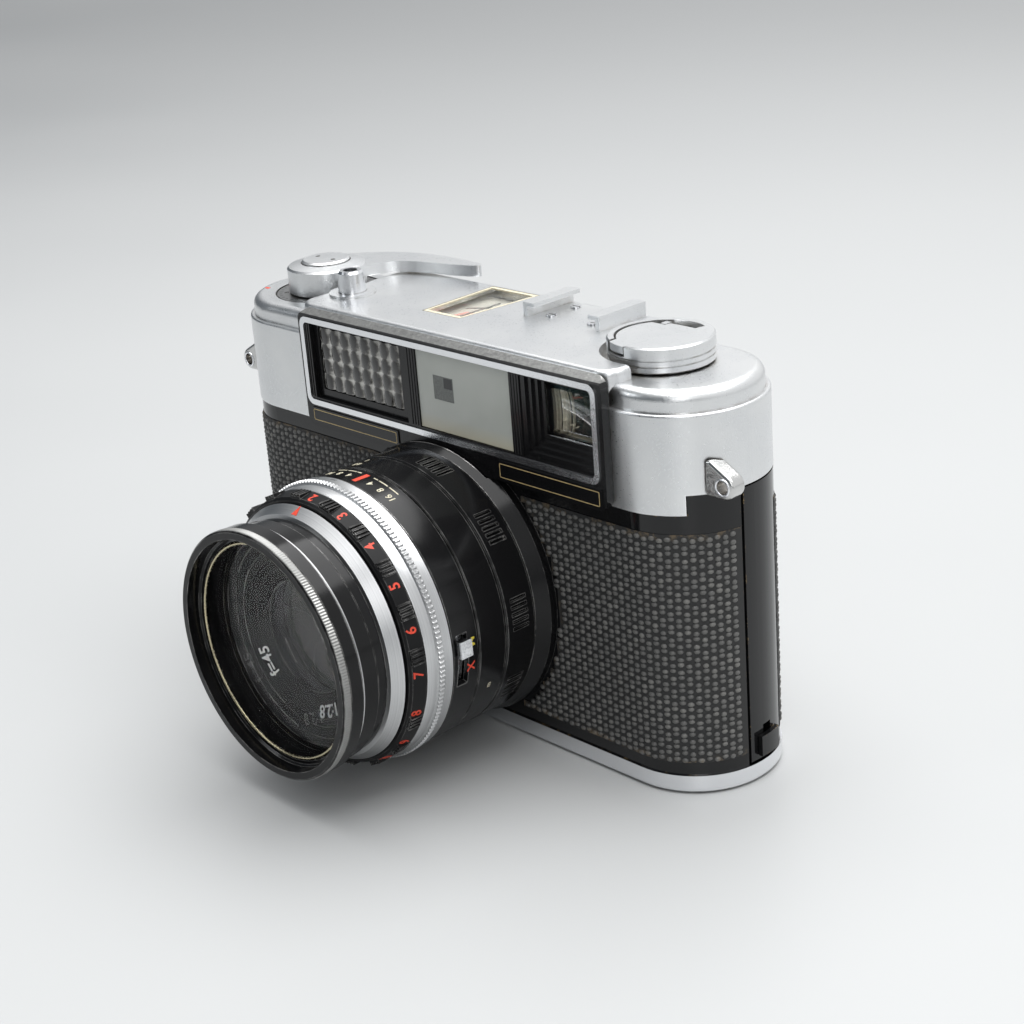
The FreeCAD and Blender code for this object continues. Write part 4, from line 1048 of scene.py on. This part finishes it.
def make_lens_rings():
    """Knurls, the filter's retaining ring and the bright joint line behind it."""
    rim_r, front = radius("filter_ring"), span("filter_ring", Y)[0]
    profile = [(rim_r - 0.4, front + 0.42), (rim_r - 0.10, front + 0.36), (rim_r - 0.02, front + 0.50),
               (rim_r - 0.02, front + 1.70), (rim_r - 0.10, front + 1.84), (rim_r - 0.4, front + 1.78)]

    def tooth(i, r):
        return 0.10 if i % 2 == 0 and r > rim_r - 0.3 else 0.0

    crisp("filter_knurl", "knurl", "lens_unit", "black_anodised", turned(profile, 2 * 270, tooth))

    # speed ring: wide band behind, thin fine knurl, narrower band with a bright front edge
    front, back = span("speed_ring", Y)
    top_r = radius("speed_ring")
    profile = [(top_r - 1.9, back), (top_r - 0.35, back), (top_r - 0.2, back - 0.2),
               (top_r - 0.45, back - 2.1), (top_r - 0.45, back - 3.40),
               (top_r - 0.75, back - 3.55), (top_r - 0.95, front + 0.2),
               (top_r - 1.1, front), (top_r - 1.9, front)]
    obj = Solid(turned(profile, 200)).make("speed_ring_knurled", "silver", "speed_ring", "silver_ring")
    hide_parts("speed_ring")
    profile = [(top_r - 0.9, back - 2.2), (top_r - 0.35, back - 2.2), (top_r - 0.3, back - 2.3),
               (top_r - 0.3, back - 3.25), (top_r - 0.35, back - 3.35), (top_r - 0.9, back - 3.35)]

    def fine_tooth(i, r):
        return 0.29 if i % 4 in (1, 2) and r > top_r - 0.5 else 0.0

    crisp("speed_ring_teeth", "silver", "speed_ring", "silver_ring", turned(profile, 4 * 180, fine_tooth))

    thick = 0.35
    edge = wire(radius("filter_glass") - 0.5, span("filter_glass", Y)[0] - thick - 0.03, thick)
    Solid(turned(edge, 128)).make("filter_retainer", "gold", "lens_unit", "brass")

    line, r = span("front_barrel", Y)[0] + 0.02, radius("front_barrel")
    profile = [(r - 0.3, line), (r + 0.10, line), (r + 0.16, line + 0.12), (r + 0.10, line + 0.24),
               (r - 0.3, line + 0.24)]
    Solid(turned(profile)).make("barrel_edge", "silver", "lens_unit", "silver_ring")


# ---- top cover details --------------------------------------------------
def make_top_details():
    crisp("counter_index", "red", "camera_body", "satin_chrome",
          flat_on(bar(-0.65, 0.65, -0.4, 0.4), -62.7, -7.1, 79.0))

    # counter figures round the dial under the wind lever
    dial_z = span("frame_counter_dial", Z)[1]
    cx, r = sum(span("frame_counter_dial", X)) / 2, radius("frame_counter_dial") - 0.75

    def on_dial(shape, distance, degrees):
        a = math.radians(degrees)
        return flat_on(shape, cx + distance * math.cos(a), distance * math.sin(a), dial_z, degrees - 90)

    sizes = [0.28 if i % 5 else 0.5 for i in range(40)]
    ticks = [on_dial(bar(-0.06, 0.06, -size, size), r, 9 * i) for i, size in enumerate(sizes)]
    figures = [on_dial(glyphs(str(5 * i), 1.3), r - 1.3, 45 * i + 4.5) for i in range(8)]
    crisp("counter_figures", "black", "frame_counter", "satin_chrome", *ticks, *figures)

    # bright rim round each strap eyelet
    hole_x, hole_z, front = 69.5, 62.2, span("strap_lugs", Y)[0]
    for side, name in ((1, "right"), (-1, "left")):
        rim = Solid(turned(wire(1.50, front + 0.02, 0.26), 40, centre=(side * hole_x, hole_z)))
        rim.make("eyelet_rim_" + name, "bright", "camera_body", "bright_chrome")


def make_eyepiece():
    """Ring round the eyepiece at the back, in the black moulding's material."""
    centre = (sum(span("eyepiece_lens", X)) / 2, sum(span("eyepiece_lens", Z)) / 2)
    y, r = span("top_cover", Y)[1], radius("eyepiece_lens")
    profile = [(r - 0.5, y - 1.2), (r + 0.3, y - 1.2), (r + 0.9, y - 0.55), (r + 0.9, y - 0.15),
               (r + 0.3, y - 0.02), (r - 0.2, y - 0.1), (r - 0.5, y - 0.5)]
    ring = Solid(turned(profile, 96, centre=centre))
    ring.make("eyepiece_ring", "bezel", "camera_body", "bezel_black")


# ---- stage, light and camera --------------------------------------------
def make_stage():
    m = Shader("stage_floor")
    cloud = m.noise(3, detail=3)
    m.set("Base Color", m.mix(cloud, (0.45, 0.458, 0.46), (0.50, 0.506, 0.505)))
    m.set("Roughness", m.range(cloud, 0.3, 0.7, 0.34, 0.44))
    half = 4.0                  # metres
    mesh = bpy.data.meshes.new("floor")
    square = [(-half, -half, 0), (half, -half, 0), (half, half, 0), (-half, half, 0)]
    mesh.from_pydata(square, [], [(0, 1, 2, 3)])
    mesh.materials.append(m.material)
    floor = bpy.data.objects.new("floor", mesh)
    bpy.context.scene.collection.objects.link(floor)


def area_light(name, place, aim, width, height, power, colour=(1, 1, 1)):
    """A soft rectangular light; lengths in metres, power in watts."""
    data = bpy.data.lights.new(name, "AREA")
    data.shape = "RECTANGLE"
    data.size, data.size_y = width, height
    data.energy = power
    data.color = colour
    obj = bpy.data.objects.new(name, data)
    obj.location = place
    obj.rotation_euler = (Vector(aim) - Vector(place)).to_track_quat("-Z", "Y").to_euler()
    bpy.context.scene.collection.objects.link(obj)


def make_light():
    """Grey surroundings that brighten upwards and behind the camera body, and three area lights."""
    world = bpy.data.worlds.new("studio")
    world.use_nodes = True
    tree = world.node_tree
    back = tree.nodes["Background"]
    place = tree.nodes.new("ShaderNodeTexCoord")
    side = tree.nodes.new("ShaderNodeVectorMath")
    side.operation = "DOT_PRODUCT"
    side.inputs[1].default_value = (0.35, 0.58, 0.73)
    ramp = tree.nodes.new("ShaderNodeValToRGB")
    tree.links.new(place.outputs["Generated"], side.inputs[0])
    tree.links.new(side.outputs["Value"], ramp.inputs["Fac"])
    tree.links.new(ramp.outputs["Color"], back.inputs["Color"])
    ramp.color_ramp.elements[0].color = (0.10, 0.115, 0.13, 1)
    ramp.color_ramp.elements[1].position = 0.42
    ramp.color_ramp.elements[1].color = (0.95, 0.96, 0.97, 1)
    back.inputs["Strength"].default_value = 0.92
    bpy.context.scene.world = world
    area_light("overhead", (0.05, 0.12, 0.75), (0, 0, 0.05), 1.0, 0.8, 9.0)
    area_light("front_right", (0.62, -0.62, 0.40), (0, 0, 0.04), 0.30, 0.6, 1.1)
    area_light("front_left", (-0.55, -0.75, 0.55), (0, -0.02, 0.04), 0.35, 0.35, 1.0, (0.95, 0.98, 1.0))


def make_camera():
    """The photograph's viewpoint: azimuth, elevation and roll in degrees, distances in metres."""
    azimuth, elevation, roll = math.radians(48.065), math.radians(21.35), math.radians(-4.522)
    distance, target = 0.395437, Vector((0.003627, 0.0, 0.039209))
    back = Vector((math.sin(azimuth) * math.cos(elevation), -math.cos(azimuth) * math.cos(elevation),
                   math.sin(elevation)))
    data = bpy.data.cameras.new("camera")
    data.sensor_width = 36.0
    data.lens = 67.64
    data.clip_start, data.clip_end = 0.01, 20.0
    obj = bpy.data.objects.new("camera", data)
    obj.location = target + back * distance
    obj.rotation_mode = "QUATERNION"
    obj.rotation_quaternion = Quaternion(back, roll) @ (-back).to_track_quat("-Z", "Y")
    bpy.context.scene.collection.objects.link(obj)
    bpy.context.scene.camera = obj


make_camera()
make_light()
make_stage()
dress_nodes()
make_leatherettes()
make_lenslets()
make_bezel_details()
make_finder_glass()
make_readout()
make_lens_marks()
make_lens_rings()
make_top_details()
make_eyepiece()
bpy.context.scene.view_settings.view_transform = "Standard"
